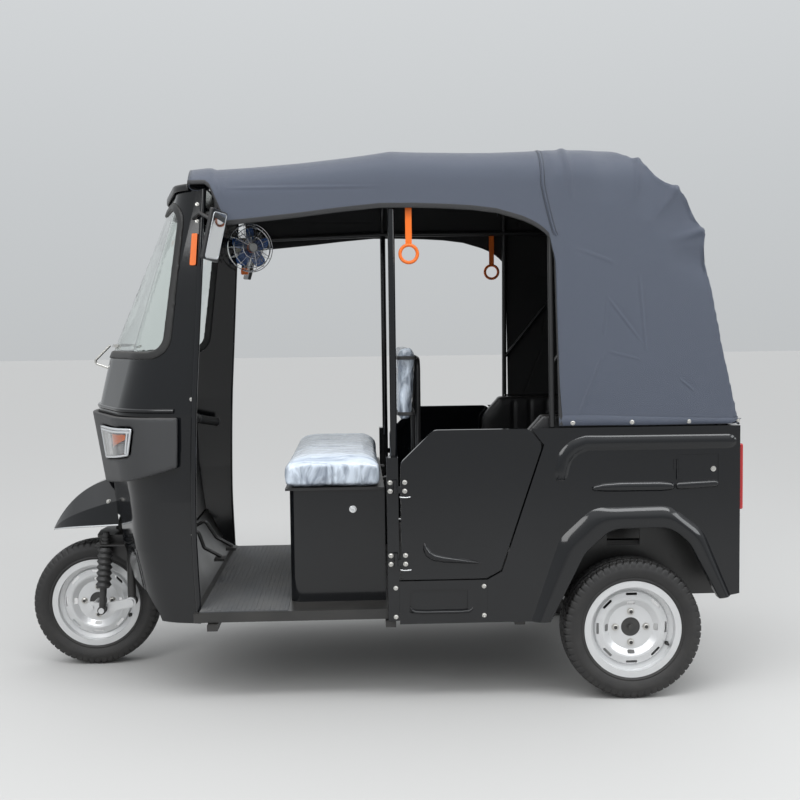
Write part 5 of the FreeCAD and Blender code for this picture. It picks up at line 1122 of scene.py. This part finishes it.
HOOD_OPENING = (
    # x and z of the doorway's upper edge, from its rear to the front pillar
    (-0.6565, 1.560), (-0.652, 1.598), (-0.640, 1.621), (-0.618, 1.642), (-0.588, 1.661), (-0.550, 1.678),
    (-0.463, 1.704), (-0.375, 1.7155), (-0.288, 1.721), (-0.173, 1.725), (-0.058, 1.7255), (0.080, 1.713),
    (0.222, 1.697), (0.345, 1.685), (0.468, 1.674), (0.494, 1.736), (0.520, 1.797), (0.531, 1.814),
    (0.70, 1.816),
)
HOOD_PIVOT = (-0.6772, 0.60)
SHOULDER_BEND = 0.130
HOOD_ROWS_ROOF = 84
HOOD_ROWS_BACK = 72
HOOD_LOW_COLUMNS = 42
HOOD_TOP_COLUMNS = 60


def hood_arch(x):
    """Half of the hood's section at x: points (y, z) from the left hem up to the crown."""
    front, rear = HOOD_ARCHES
    share = min(max((x - rear[0]) / (front[0] - rear[0]), 0), 1)
    low_half, shoulder, shoulder_z, crown = [rear[k] + (front[k] - rear[k]) * share for k in range(1, 5)]
    low, corner, top = Vector((low_half, HOOD_HEM)), Vector((shoulder, shoulder_z)), Vector((0, crown))
    into, out = (low - corner).normalized(), (top - corner).normalized()
    half_angle = into.angle(out) / 2
    reach = SHOULDER_BEND / math.tan(half_angle)
    middle = corner + (into + out).normalized() * SHOULDER_BEND / math.sin(half_angle)
    start, end = corner + into * reach, corner + out * reach
    first = math.atan2(start.y - middle.y, start.x - middle.x)
    last = math.atan2(end.y - middle.y, end.x - middle.x)
    points = [low.lerp(start, step / 40) for step in range(40)]
    for step in range(25):
        turn = first + (last - first) * step / 24
        points.append(middle + Vector((math.cos(turn), math.sin(turn))) * SHOULDER_BEND)
    for step in range(1, 21):
        spot = end.lerp(top, step / 20)
        spot.y -= 0.0046 * (step / 20) ** 6
        points.append(spot)
    return points


def split_at(points, height):
    """Cuts a rising half section where it reaches a height."""
    for place, spot in enumerate(points):
        if spot.z >= height:
            below = points[place - 1] if place else spot
            span = spot.z - below.z
            cut = below.lerp(spot, (height - below.z) / span if span > 1e-9 else 0)
            return points[:place] + [cut], [cut] + points[place:]
    return points, [points[-1], points[-1]]


def back_reach(turn):
    """How far a line from the pivot goes before it meets the hood's back or roof."""
    step, reach = 0.002, 0.30
    way = Vector((math.cos(turn), math.sin(turn)))
    while reach < 1.6:
        x, z = HOOD_PIVOT[0] + way.x * reach, HOOD_PIVOT[1] + way.y * reach
        if z > between(HOOD_BACK, x) or x < HOOD_REAR_X:
            break
        reach += step
    return reach


def hood_row(number):
    """One row of the hood: its left half, low part and top part, as points in space."""
    first, last = math.atan2(1, HOOD_LEAN), math.atan2(HOOD_HEM - HOOD_PIVOT[1], HOOD_REAR_X - HOOD_PIVOT[0])
    if number < HOOD_ROWS_BACK:
        turn = first + (last - first) * (1 - number / HOOD_ROWS_BACK)
        reach = back_reach(turn)
        top_z = min(HOOD_PIVOT[1] + math.sin(turn) * reach, HOOD_CROWN)
        slope = math.cos(turn) / math.sin(turn)
        half = []
        for y, z in hood_arch(-0.8):
            if z < top_z:
                half.append(Vector((HOOD_PIVOT[0] + (z - HOOD_PIVOT[1]) * slope, y, z)))
        if top_z < 1.9685:
            corner = half[-1] if half else Vector((HOOD_REAR_X, 0.636, top_z))
            edge = Vector((HOOD_PIVOT[0] + (top_z - HOOD_PIVOT[1]) * slope, corner.y, top_z))
            if (edge - corner).length > 1e-4 or not half:
                half.append(edge)
            half += [Vector((edge.x, edge.y * (1 - step / 12), top_z)) for step in range(1, 13)]
        knee = HOOD_HEM + 0.53 * (top_z - HOOD_HEM)
        low, top = split_at(half, max(knee, HOOD_HEM + 0.0005))
        if len(low) < 2:
            low = [half[0], low[-1] if low else half[0]]
        return low, top
    share = (number - HOOD_ROWS_BACK) / HOOD_ROWS_ROOF
    x = HOOD_DOORWAY_X + (HOOD_FRONT_X - HOOD_DOORWAY_X) * share
    ease = max(0, 1 - (x - HOOD_DOORWAY_X) / 0.12)
    half = []
    for y, z in hood_arch(x):
        lean = HOOD_PIVOT[0] + (z - HOOD_PIVOT[1]) * HOOD_LEAN - HOOD_DOORWAY_X
        half.append(Vector((x + lean * ease, y, z)))
    return split_at(half, between(HOOD_OPENING, x))


HOOPS = (
    # ends of the ridges where the cloth lies over the bows' corners, first end at the outline
    ((-0.702, 1.955), (-0.716, 1.74)), ((-0.962, 1.900), (-0.940, 1.72)), ((-1.098, 1.800), (-0.985, 1.65)),
    ((-1.186, 1.640), (-1.050, 1.600)),
)
HOLLOWS = (
    # ends of the sags between the bows
    ((-0.850, 1.92), (-0.850, 1.74)), ((-1.020, 1.84), (-0.965, 1.68)), ((-1.146, 1.705), (-1.02, 1.625)),
    ((-1.190, 1.53), (-1.05, 1.54)),
)
CREASES = (
    # ends of thin folds on the hood's side, and their height
    ((-0.734, 1.579), (-0.869, 1.530), 0.0016), ((-0.838, 1.415), (-0.959, 1.255), 0.0016),
    ((-0.952, 1.492), (-0.973, 1.227), 0.0018), ((-0.841, 1.408), (-0.827, 1.277), 0.0014),
    ((-0.827, 1.229), (-0.736, 1.002), 0.0020), ((-0.834, 1.226), (-0.959, 1.193), 0.0012),
    ((-1.092, 1.125), (-1.141, 1.083), 0.0010), ((-0.716, 1.872), (-0.719, 1.750), 0.0030),
    ((0.495, 1.800), (-0.080, 1.797), 0.0022),
)


def fold(place, first, last, width, taper):
    """How strongly a straight fold is felt at a place; it fades over its width and towards its end."""
    first, last = Vector(first), Vector(last)
    way = last - first
    share = min(max((place - first).dot(way) / way.length_squared, 0), 1)
    away = (place - first.lerp(last, share)).length
    fade = (1 - share) if taper else min(1, 4 * share + 0.2, 4 * (1 - share) + 0.2)
    return fade * math.exp(-(away / width) ** 2)


def hood_relief(spot, sideness):
    """How far the cloth stands out or sinks at a place, in metres."""
    place = Vector((spot.x, spot.z))
    rise = 0.0022 * noise.noise(spot * 2.6) + 0.0008 * noise.noise(spot * 9.0)
    for first, last in HOLLOWS:
        rise -= 0.0150 * fold(place, first, last, 0.046, True) * sideness
    if spot.x > -0.66:
        bows = (-0.648, -0.097, 0.500)
        for rear, front in zip(bows, bows[1:]):
            if rear < spot.x < front:
                share = (spot.x - rear) / (front - rear)
                rise -= 0.009 * math.sin(math.pi * share) ** 0.8 * (1 - 0.7 * sideness)
        if spot.x > 0.514:
            rise += 0.009 * min(1, (spot.x - 0.514) / 0.012)
    return rise


def drawn_corner(spot):
    """The hood's rear corners curve forward between the roof and the hem, as the bows' bent ends let them."""
    sideways = min(1, max(0, (abs(spot.y) - 0.34) / 0.26))
    rearward = min(1, max(0, (-0.80 - spot.x) / 0.16))
    height = between(((0.972, 0.1), (1.30, 0.5), (1.55, 1.0), (1.82, 1.0), (1.90, 0.7), (1.965, 0.0)), spot.z)
    ease = sideways * sideways * (3 - 2 * sideways) * rearward * height
    return Vector((spot.x + 0.031 * ease, spot.y, spot.z - 0.020 * ease))


def ridge_height(spot):
    """How far the bows' ridges and the thin folds stand out on the hood's sides, in metres."""
    place = Vector((spot.x, spot.z))
    rise = sum(0.0105 * fold(place, first, last, 0.0125, True) for first, last in HOOPS)
    for first, last, height in CREASES:
        crest, valley = fold(place, first, last, 0.0042, False), fold(place, first, last, 0.012, False)
        rise += height * (1.3 * crest - 0.5 * valley)
    return rise * min(1, max(0, (abs(spot.y) - 0.40) / 0.14))


def front_roll_rows():
    """The cloth's front edge, turned down and back round the front bow."""
    rows = []
    for turn in (30, 60, 90, 120, 150, 180):
        bend = math.radians(turn)
        rows.append((-0.020 + 0.020 * math.sin(bend), 0.020 * (1 - math.cos(bend))))
    rows += [(-0.045, 0.040), (-0.066, 0.040)]
    return rows


def build_hood():
    """The hood's places and ways out, row by row from the rear hem to the front roll."""
    columns = 2 * (HOOD_LOW_COLUMNS + HOOD_TOP_COLUMNS)
    grid = []
    for number in range(HOOD_ROWS_BACK + HOOD_ROWS_ROOF + 1):
        low, top = hood_row(number)
        left = resampled(low, HOOD_LOW_COLUMNS)[:-1] + resampled(top, HOOD_TOP_COLUMNS)
        left = [drawn_corner(spot) for spot in left]
        left[-1].y = 0
        right = [Vector((spot.x, -spot.y, spot.z)) for spot in reversed(left[:-1])]
        grid.append(left + right)
    rows = len(grid)
    spots = []
    for row in range(rows):
        fore, aft = grid[min(row + 1, rows - 1)], grid[max(row - 1, 0)]
        line = []
        for column in range(columns + 1):
            along_row = grid[row][min(column + 1, columns)] - grid[row][max(column - 1, 0)]
            out = (fore[column] - aft[column]).cross(along_row)
            out = out.normalized() if out.length > 1e-9 else Vector((0, 0, 1))
            if out.dot(grid[row][column] - Vector((-0.4, 0, 1.3))) < 0:
                out = -out
            line.append(out)
        spots.append(line)
    moved = []
    for row in range(rows):
        line = []
        for column in range(columns + 1):
            spot, out = grid[row][column], spots[row][column]
            sideness = min(1, abs(out.y) * 1.15)
            edge = min(1, min(column, columns - column) / 4)
            line.append(spot + out * hood_relief(spot, sideness) * (0.3 + 0.7 * edge) - out * 0.0015)
        moved.append(line)
    for ahead, inward in front_roll_rows():
        line = []
        for column in range(columns + 1):
            spot, out = moved[rows - 1][column], spots[rows - 1][column]
            line.append(spot + Vector((ahead, 0, 0)) - out * inward)
        moved.append(line)
    return moved, spots, columns


hood_grid, hood_out, hood_columns = build_hood()


def hood_kept(row, column):
    """Whether a cell of the grid is cloth, not doorway."""
    low = column < HOOD_LOW_COLUMNS or column >= hood_columns - HOOD_LOW_COLUMNS
    return not (low and row >= HOOD_ROWS_BACK)


hood_points = [spot for line in hood_grid for spot in line]
hood_cells = []
for row in range(len(hood_grid) - 1):
    for column in range(hood_columns):
        if hood_kept(row, column):
            start = row * (hood_columns + 1) + column
            hood_cells.append((start, start + 1, start + hood_columns + 2, start + hood_columns + 1))
hood = add_piece("hood_cloth_sheet", hood_cloth, hood_points, hood_cells, BODY)
work = bmesh.new()
work.from_mesh(hood.data)
bmesh.ops.delete(work, geom=[vertex for vertex in work.verts if not vertex.link_faces], context="VERTS")
bmesh.ops.remove_doubles(work, verts=work.verts, dist=0.0004)
bmesh.ops.recalc_face_normals(work, faces=work.faces)
if sum(face.normal.z for face in work.faces if face.calc_center_median().z > 1.93) < 0:
    bmesh.ops.reverse_faces(work, faces=work.faces)
hood_area = sum(face.calc_area() for face in work.faces)
ridged = set()
for face in work.faces:
    centre = face.calc_center_median()
    corners = [centre] + [vertex.co for vertex in face.verts]
    if centre.x < -0.64 or centre.z > 1.76:
        if any(abs(ridge_height(corner)) > 0.00030 for corner in corners):
            ridged.update(face.edges)
bmesh.ops.subdivide_edges(work, edges=list(ridged), cuts=2, use_grid_fill=True)
work.normal_update()
lifts = [(vertex, vertex.normal * ridge_height(vertex.co)) for vertex in work.verts]
for vertex, lift in lifts:
    vertex.co += lift
for face in work.faces:
    face.smooth = True
work.to_mesh(hood.data)
work.free()
hood.data.materials.append(hood_lining)
lining = hood.modifiers.new("lining", "SOLIDIFY")
lining.thickness = 0.003
lining.offset = -1
lining.material_offset = 1
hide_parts("canopy")


def band_on_hood(name, path, look, width, lift):
    """A bound edge: path is a row of (edge place, way into the cloth, way out)."""
    vertices, faces = [], []
    for spot, inner, out in path:
        inner, out = inner.normalized(), out.normalized()
        vertices += [
            spot - inner * 0.001 - out * 0.0045, spot - inner * 0.0025, spot - inner * 0.001 + out * lift,
            spot + inner * width * 0.5 + out * (lift + 0.0008), spot + inner * width + out * lift,
            spot + inner * (width + 0.0008) - out * 0.0003]
    for place in range(len(path) - 1):
        for row in range(5):
            here, there = place * 6 + row, (place + 1) * 6 + row
            faces.append((here, there, there + 1, here + 1))
    piece = add_piece(name, look, vertices, faces, BODY)
    outward(piece)
    return piece


def edge_path(cells):
    """Edge places of the hood with their ways in and out, from (row, column, next row, next column)."""
    path = []
    for row, column, inner_row, inner_column in cells:
        spot, inner = hood_grid[row][column], hood_grid[inner_row][inner_column]
        path.append((spot, inner - spot, hood_out[min(row, len(hood_out) - 1)][column]))
    return path


for side, hem_column, step in (("left", 0, 1), ("right", hood_columns, -1)):
    edge_column = hem_column + step * HOOD_LOW_COLUMNS
    upright = [(HOOD_ROWS_BACK, hem_column + step * place, HOOD_ROWS_BACK - 1, hem_column + step * place)
               for place in range(HOOD_LOW_COLUMNS)]
    lintel = [(row, edge_column, row, edge_column + step)
              for row in range(HOOD_ROWS_BACK + 1, HOOD_ROWS_BACK + HOOD_ROWS_ROOF + 1)]
    band_on_hood(
        "hood_doorway_binding_" + side, edge_path(upright + lintel), hood_binding, 0.014, 0.0016)
hem_cells = [(row, 0, row, 1) for row in range(HOOD_ROWS_BACK, 0, -1)]
hem_cells += [(0, column, 1, column) for column in range(2, hood_columns - 1, 2)]
hem_cells += [(row, hood_columns, row, hood_columns - 1) for row in range(1, HOOD_ROWS_BACK + 1)]
band_on_hood("hood_hem_band", edge_path(hem_cells), hood_cloth, 0.033, 0.0016)


# Hood fastenings: bright press-studs hold the hem to the body's top edge, and a
# stitched welt runs over the roof from doorway to doorway, ahead of the bows.
hood_skin = BVHTree.FromObject(hood, bpy.context.evaluated_depsgraph_get())
STUD_HEIGHT = 0.980
hem_studs = from_sides(hood_skin, [(x, STUD_HEIGHT) for x in (-0.716, -0.922, -1.121, -1.292)])
hem_studs += [landed(hood_skin, (-1.6, y, STUD_HEIGHT), (1, 0, 0)) for y in (-0.45, -0.15, 0.15, 0.45)]
hem_studs = [(spot + out * 0.0012, out) for spot, out in hem_studs]
add_bolts("hood_press_studs", hem_studs, 0.0058, 0.0045, 0.0085)
welt_rays = []
for step in range(25):
    share = step / 24
    welt_rays.append(((-0.664 + 0.044 * share ** 0.8, 0.9, 1.625 + 0.175 * share), (0, -1, 0)))
for step in range(1, 16):
    turn = math.radians(90 * step / 16)
    way = Vector((0, -math.cos(turn), -math.sin(turn)))
    welt_rays.append((Vector((-0.620, 0.42, 1.80)) - way * 0.6, way))
for step in range(22):
    welt_rays.append(((-0.620, 0.42 * (1 - step / 21), 2.4), (0, 0, -1)))
welt = [landed(hood_skin, start, way) for start, way in welt_rays]
welt = [(spot, out) for spot, out in welt if spot is not None]
MIRRORED = Vector((1, -1, 1))
welt += [(spot * MIRRORED, out * MIRRORED) for spot, out in reversed(welt[:-1])]
stitch_runs = []
for shift in (-0.007, 0.007):
    row = [spot + Vector((shift, 0, 0)) + out * 0.0005 for spot, out in welt]
    for first, second in zip(row, row[1:]):
        stitch_runs.append([first.lerp(second, 0.12), first.lerp(second, 0.88)])
run_piece("hood_welt", hood_cloth, [[spot + out * 0.0006 for spot, out in welt]], 0.0028, BODY)
run_piece("hood_stitches", hood_binding, stitch_runs, 0.0009, BODY, smooth=False, sides=1)


# Driver's seat: a foam cushion on its hinged lid and a backrest on a bent tube,
# both still wrapped in clear film from the works. Air under the film swells it,
# and it wrinkles into fine crinkles that catch the light.
def swollen(piece, voxel, pressure, cap, levels=1):
    """Rounds a closed pad as filling does: an even mesh, pushed out from inside, each point held to a cap."""
    even = piece.modifiers.new("even", "REMESH")
    even.mode = "VOXEL"
    even.voxel_size = voxel
    shaped_mesh = bpy.data.meshes.new_from_object(piece.evaluated_get(bpy.context.evaluated_depsgraph_get()))
    piece.modifiers.clear()
    old = piece.data
    look = old.materials[0]
    piece.data = shaped_mesh
    piece.data.materials.clear()
    piece.data.materials.append(look)
    bpy.data.meshes.remove(old)
    start = [vertex.co.copy() for vertex in piece.data.vertices]
    fill = piece.modifiers.new("fill", "CLOTH")
    fill.settings.use_pressure = True
    fill.settings.uniform_pressure_force = pressure
    fill.settings.quality = 4
    fill.settings.tension_stiffness = 12
    fill.settings.compression_stiffness = 12
    fill.settings.bending_stiffness = 0.4
    fill.settings.effector_weights.gravity = 0
    fill.collision_settings.use_collision = False
    for number in range(1, 21):
        scene.frame_set(number)
    settled = piece.evaluated_get(bpy.context.evaluated_depsgraph_get())
    ends = [vertex.co.copy() for vertex in settled.data.vertices]
    piece.modifiers.clear()
    scene.frame_set(1)
    for vertex, first, last in zip(piece.data.vertices, start, ends):
        move = last - first
        if move.length > cap:
            move *= cap / move.length
        vertex.co = first + move
    work = bmesh.new()
    work.from_mesh(piece.data)
    for turn in range(3):
        bmesh.ops.smooth_vert(
            work, verts=work.verts, factor=0.5, use_axis_x=True, use_axis_y=True, use_axis_z=True)
    if levels:
        bmesh.ops.subdivide_edges(work, edges=work.edges, cuts=1, use_grid_fill=True, smooth=0.6)
    for face in work.faces:
        face.smooth = True
    work.to_mesh(piece.data)
    work.free()


def pad_from(name, node, look, shrink, body):
    """A pad that starts as its CAD solid, a little smaller."""
    source = NODES[node].data
    low, high = [Vector(corner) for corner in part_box(node)]
    middle = (low + high) / 2
    shares = [1 - 2 * shrink / (high[axis] - low[axis]) for axis in range(3)]
    vertices = [
        [middle[axis] + (vertex.co[axis] - middle[axis]) * shares[axis] for axis in range(3)]
        for vertex in source.vertices]
    faces = [tuple(face.vertices) for face in source.polygons]
    piece = add_piece(name, look, vertices, faces, body)
    outward(piece)
    return piece


def moved_points(piece, rule):
    """Moves each point of a piece along its own normal by rule(place, normal)."""
    normals = [vertex.normal.copy() for vertex in piece.data.vertices]
    places = [vertex.co.copy() for vertex in piece.data.vertices]
    for vertex, place, normal in zip(piece.data.vertices, places, normals):
        vertex.co = place + normal * rule(place, normal)


def film_material(name):
    """Clear film over a pale cover, folded where it hangs, with its light painted into its colour: a pale
    blue-white painted sky reflection on faces that look up, darker grey painted shade on the hanging sides,
    and paler painted highlights along the streaks that also raise its bump.
    """
    made, tree, shader = new_material(name)
    where = placed(tree, "TexCoord").outputs["Object"]
    normal = placed(tree, "SeparateXYZ", {0: placed(tree, "NewGeometry").outputs["Normal"]})
    facing = {"From Min": 0.25, "From Max": 0.75, "Value": normal.outputs["Z"]}
    upward = placed(tree, "MapRange", facing).outputs["Result"]
    streaks, lit_and_shaded_tones = [], []
    # Two tone sets: the first is the painted sky reflection on top, the second the painted shade on the
    # hanging sides; each is paler along its streaks as painted highlights.
    for scale, distortion, stops in (
        ((4, 46, 20), 0.6, ((0.36, (0.46, 0.53, 0.64, 1)), (0.47, (0.76, 0.83, 0.92, 1)))),
        ((24, 24, 7), 1.4, ((0.36, (0.20, 0.23, 0.28, 1)), (0.60, (0.62, 0.69, 0.78, 1)))),
    ):
        stretch = placed(tree, "Mapping", {"Scale": scale, "Vector": where})
        feeds = {"Scale": 1, "Detail": 6, "Distortion": distortion, "Vector": stretch.outputs["Vector"]}
        streaks.append(placed(tree, "TexNoise", feeds).outputs["Fac"])
        lit_and_shaded_tones.append(toned(tree, streaks[-1], stops))
    # Painted light: faces that look up take the painted reflection tones, the hanging sides the painted shade
    # tones.
    colour = placed(tree, "Mix", {"Factor": upward, "A": lit_and_shaded_tones[1], "B": lit_and_shaded_tones[0]}, data_type="RGBA")
    height = placed(tree, "Mix", {"Factor": upward, "A": streaks[1], "B": streaks[0]})
    bump = placed(tree, "Bump", {"Distance": 0.006, "Strength": 0.8, "Height": height.outputs["Result"]})
    shine = placed(tree, "MapRange", {"To Min": 0.12, "To Max": 0.30, "Value": streaks[1]})
    tree.links.new(colour.outputs["Result"], shader.inputs["Base Color"])
    tree.links.new(bump.outputs["Normal"], shader.inputs["Normal"])
    tree.links.new(shine.outputs["Result"], shader.inputs["Roughness"])
    shader.inputs["Coat Weight"].default_value = 0.5
    shader.inputs["Coat Roughness"].default_value = 0.08
    return made


wrap_film = film_material("works_wrapping_film")
seat_vinyl = cloth_material(
    "black_seat_vinyl", (0.010, 0.010, 0.011), (0.016, 0.016, 0.017), 0.34, 0.0, 0.6, (7, 1.5), dust=0.1)


def crinkle(place, normal):
    """Slack film: long low wrinkles where it lies flat, and folds a few millimetres deep where it hangs."""
    lying = min(1, abs(normal.z) * 1.2)
    turn = noise.noise(place * 6) * 0.35
    long_ridge = 1 - abs(noise.noise(Vector((place.x * 6 + turn, place.y * 44 + turn * 8, place.z * 20)))) * 2
    fold_ridge = 1 - abs(noise.noise(Vector((place.x * 30 + turn * 7, place.y * 30, place.z * 8)))) * 2
    return 0.0020 * (long_ridge ** 2 - 0.4) * lying + 0.0034 * (fold_ridge ** 2 - 0.4) * (1 - lying)


def raise_crown(piece, rise):
    """Lifts the top of a loosely wrapped cushion and rounds its long edges."""
    heights = [vertex.co.z for vertex in piece.data.vertices]
    low, high = min(heights), max(heights)
    for vertex in piece.data.vertices:
        share = (vertex.co.z - low) / (high - low)
        edge = min(1, max(0, (0.306 - vertex.co.x) / 0.10), max(0, (vertex.co.x + 0.070) / 0.08))
        side = min(1, max(0, 0.496 - abs(vertex.co.y)) / 0.09)
        vertex.co.z += rise * share ** 1.5 * (0.30 + 0.70 * math.sqrt(edge * side))


cushion = pad_from(
    "driver_cushion_wrapped", "driver_cushion", wrap_film, 0.008, "seat_lid_assembly")
swollen(cushion, 0.0100, 4, 0.010)
raise_crown(cushion, 0.034)
moved_points(cushion, crinkle)
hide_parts("driver_cushion")
backrest = pad_from("driver_backrest_wrapped", "driver_backrest", wrap_film, 0.008, BODY)
swollen(backrest, 0.0090, 4, 0.010)
for vertex in backrest.data.vertices:
    drop = max(0, (1.255 - vertex.co.z) / 0.35)
    vertex.co.x += 0.020 * drop * max(0, (-0.130 - vertex.co.x) / 0.066)
    vertex.co.z += 0.055 * drop ** 2
moved_points(backrest, crinkle)
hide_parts("driver_backrest")
band_runs = []
for height, rear in ((1.203, -0.203), (0.992, -0.193)):
    corners = [(-0.124, 0.235), (-0.124, -0.235), (-0.135, -0.262), (rear + 0.012, -0.266), (rear, -0.240),
               (rear, 0.240), (rear + 0.012, 0.266), (-0.135, 0.262)]
    for shift in (-0.004, 0.0, 0.004):
        band_runs.append([(x, y, height + shift) for x, y in corners])
run_piece("backrest_wrap_bands", soft_rubber, band_runs, 0.0030, BODY, closed=True)


# Bench: a full-width foam cushion and a back that wraps forward along both sides,
# in quilted black vinyl with glossy piping along their edges.
BENCH_QUILT = 0.075


def bench_back_relief(place, normal):
    """Upright sewn channels on the back, padding between, and a flat rim along the top."""
    inner = 0.0
    if place.z < 0.985:
        if normal.x > 0.5 and place.x < -1.05:
            inner = abs(math.sin(math.pi * place.y / BENCH_QUILT))
        elif abs(normal.y) > 0.5 and abs(place.y) < 0.57 and place.x < -0.66:
            inner = abs(math.sin(math.pi * (place.x + 1.13) / BENCH_QUILT))
        if inner:
            return 0.006 * (min(1, inner * 2.2) - 1)
    return 0


bench_back = pad_from("bench_back_padded", "bench_back", seat_vinyl, 0.004, BODY)
swollen(bench_back, 0.0085, 3, 0.006, levels=0)
moved_points(bench_back, bench_back_relief)
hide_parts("bench_back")


def bench_seat_relief(place, normal):
    """Channels sewn from front to back over the cushion's top."""
    if normal.z > 0.4 and -1.10 < place.x < -0.66:
        return 0.007 * (min(1, abs(math.sin(math.pi * place.y / (BENCH_QUILT * 1.6))) * 2.4) - 1)
    return 0


bench_cushion = pad_from("bench_cushion_padded", "bench_cushion", seat_vinyl, 0.007, BODY)
swollen(bench_cushion, 0.0085, 4, 0.010, levels=0)
moved_points(bench_cushion, bench_seat_relief)
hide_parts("bench_cushion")
piping_vinyl = finished_material(
    "glossy_piping", (0.014, 0.014, 0.015), (0.02, 0.02, 0.02), (20, 0.3), (0.18, 0.08), (400, 0.1),
    dust=0.05)
PIPING_HEIGHT = 1.0115
inner_line = [
    (x, y, PIPING_HEIGHT) for x, y in (
        (-0.640, 0.550), (-0.90, 0.550), (-1.085, 0.549), (-1.118, 0.540), (-1.128, 0.510), (-1.130, 0.30),
        (-1.130, 0))]
inner_line += [(x, -y, z) for x, y, z in reversed(inner_line[:-1])]
run_piece("bench_top_piping", piping_vinyl, [inner_line], 0.0042, BODY)
front_line = [(-1.09, 0.52, 0.7575), (-0.66, 0.52, 0.7575), (-0.628, 0.50, 0.7545), (-0.624, 0.40, 0.7545),
              (-0.624, 0, 0.7545)]
front_line += [(x, -y, z) for x, y, z in reversed(front_line[:-1])]
run_piece("bench_cushion_piping", piping_vinyl, [front_line], 0.0042, BODY)
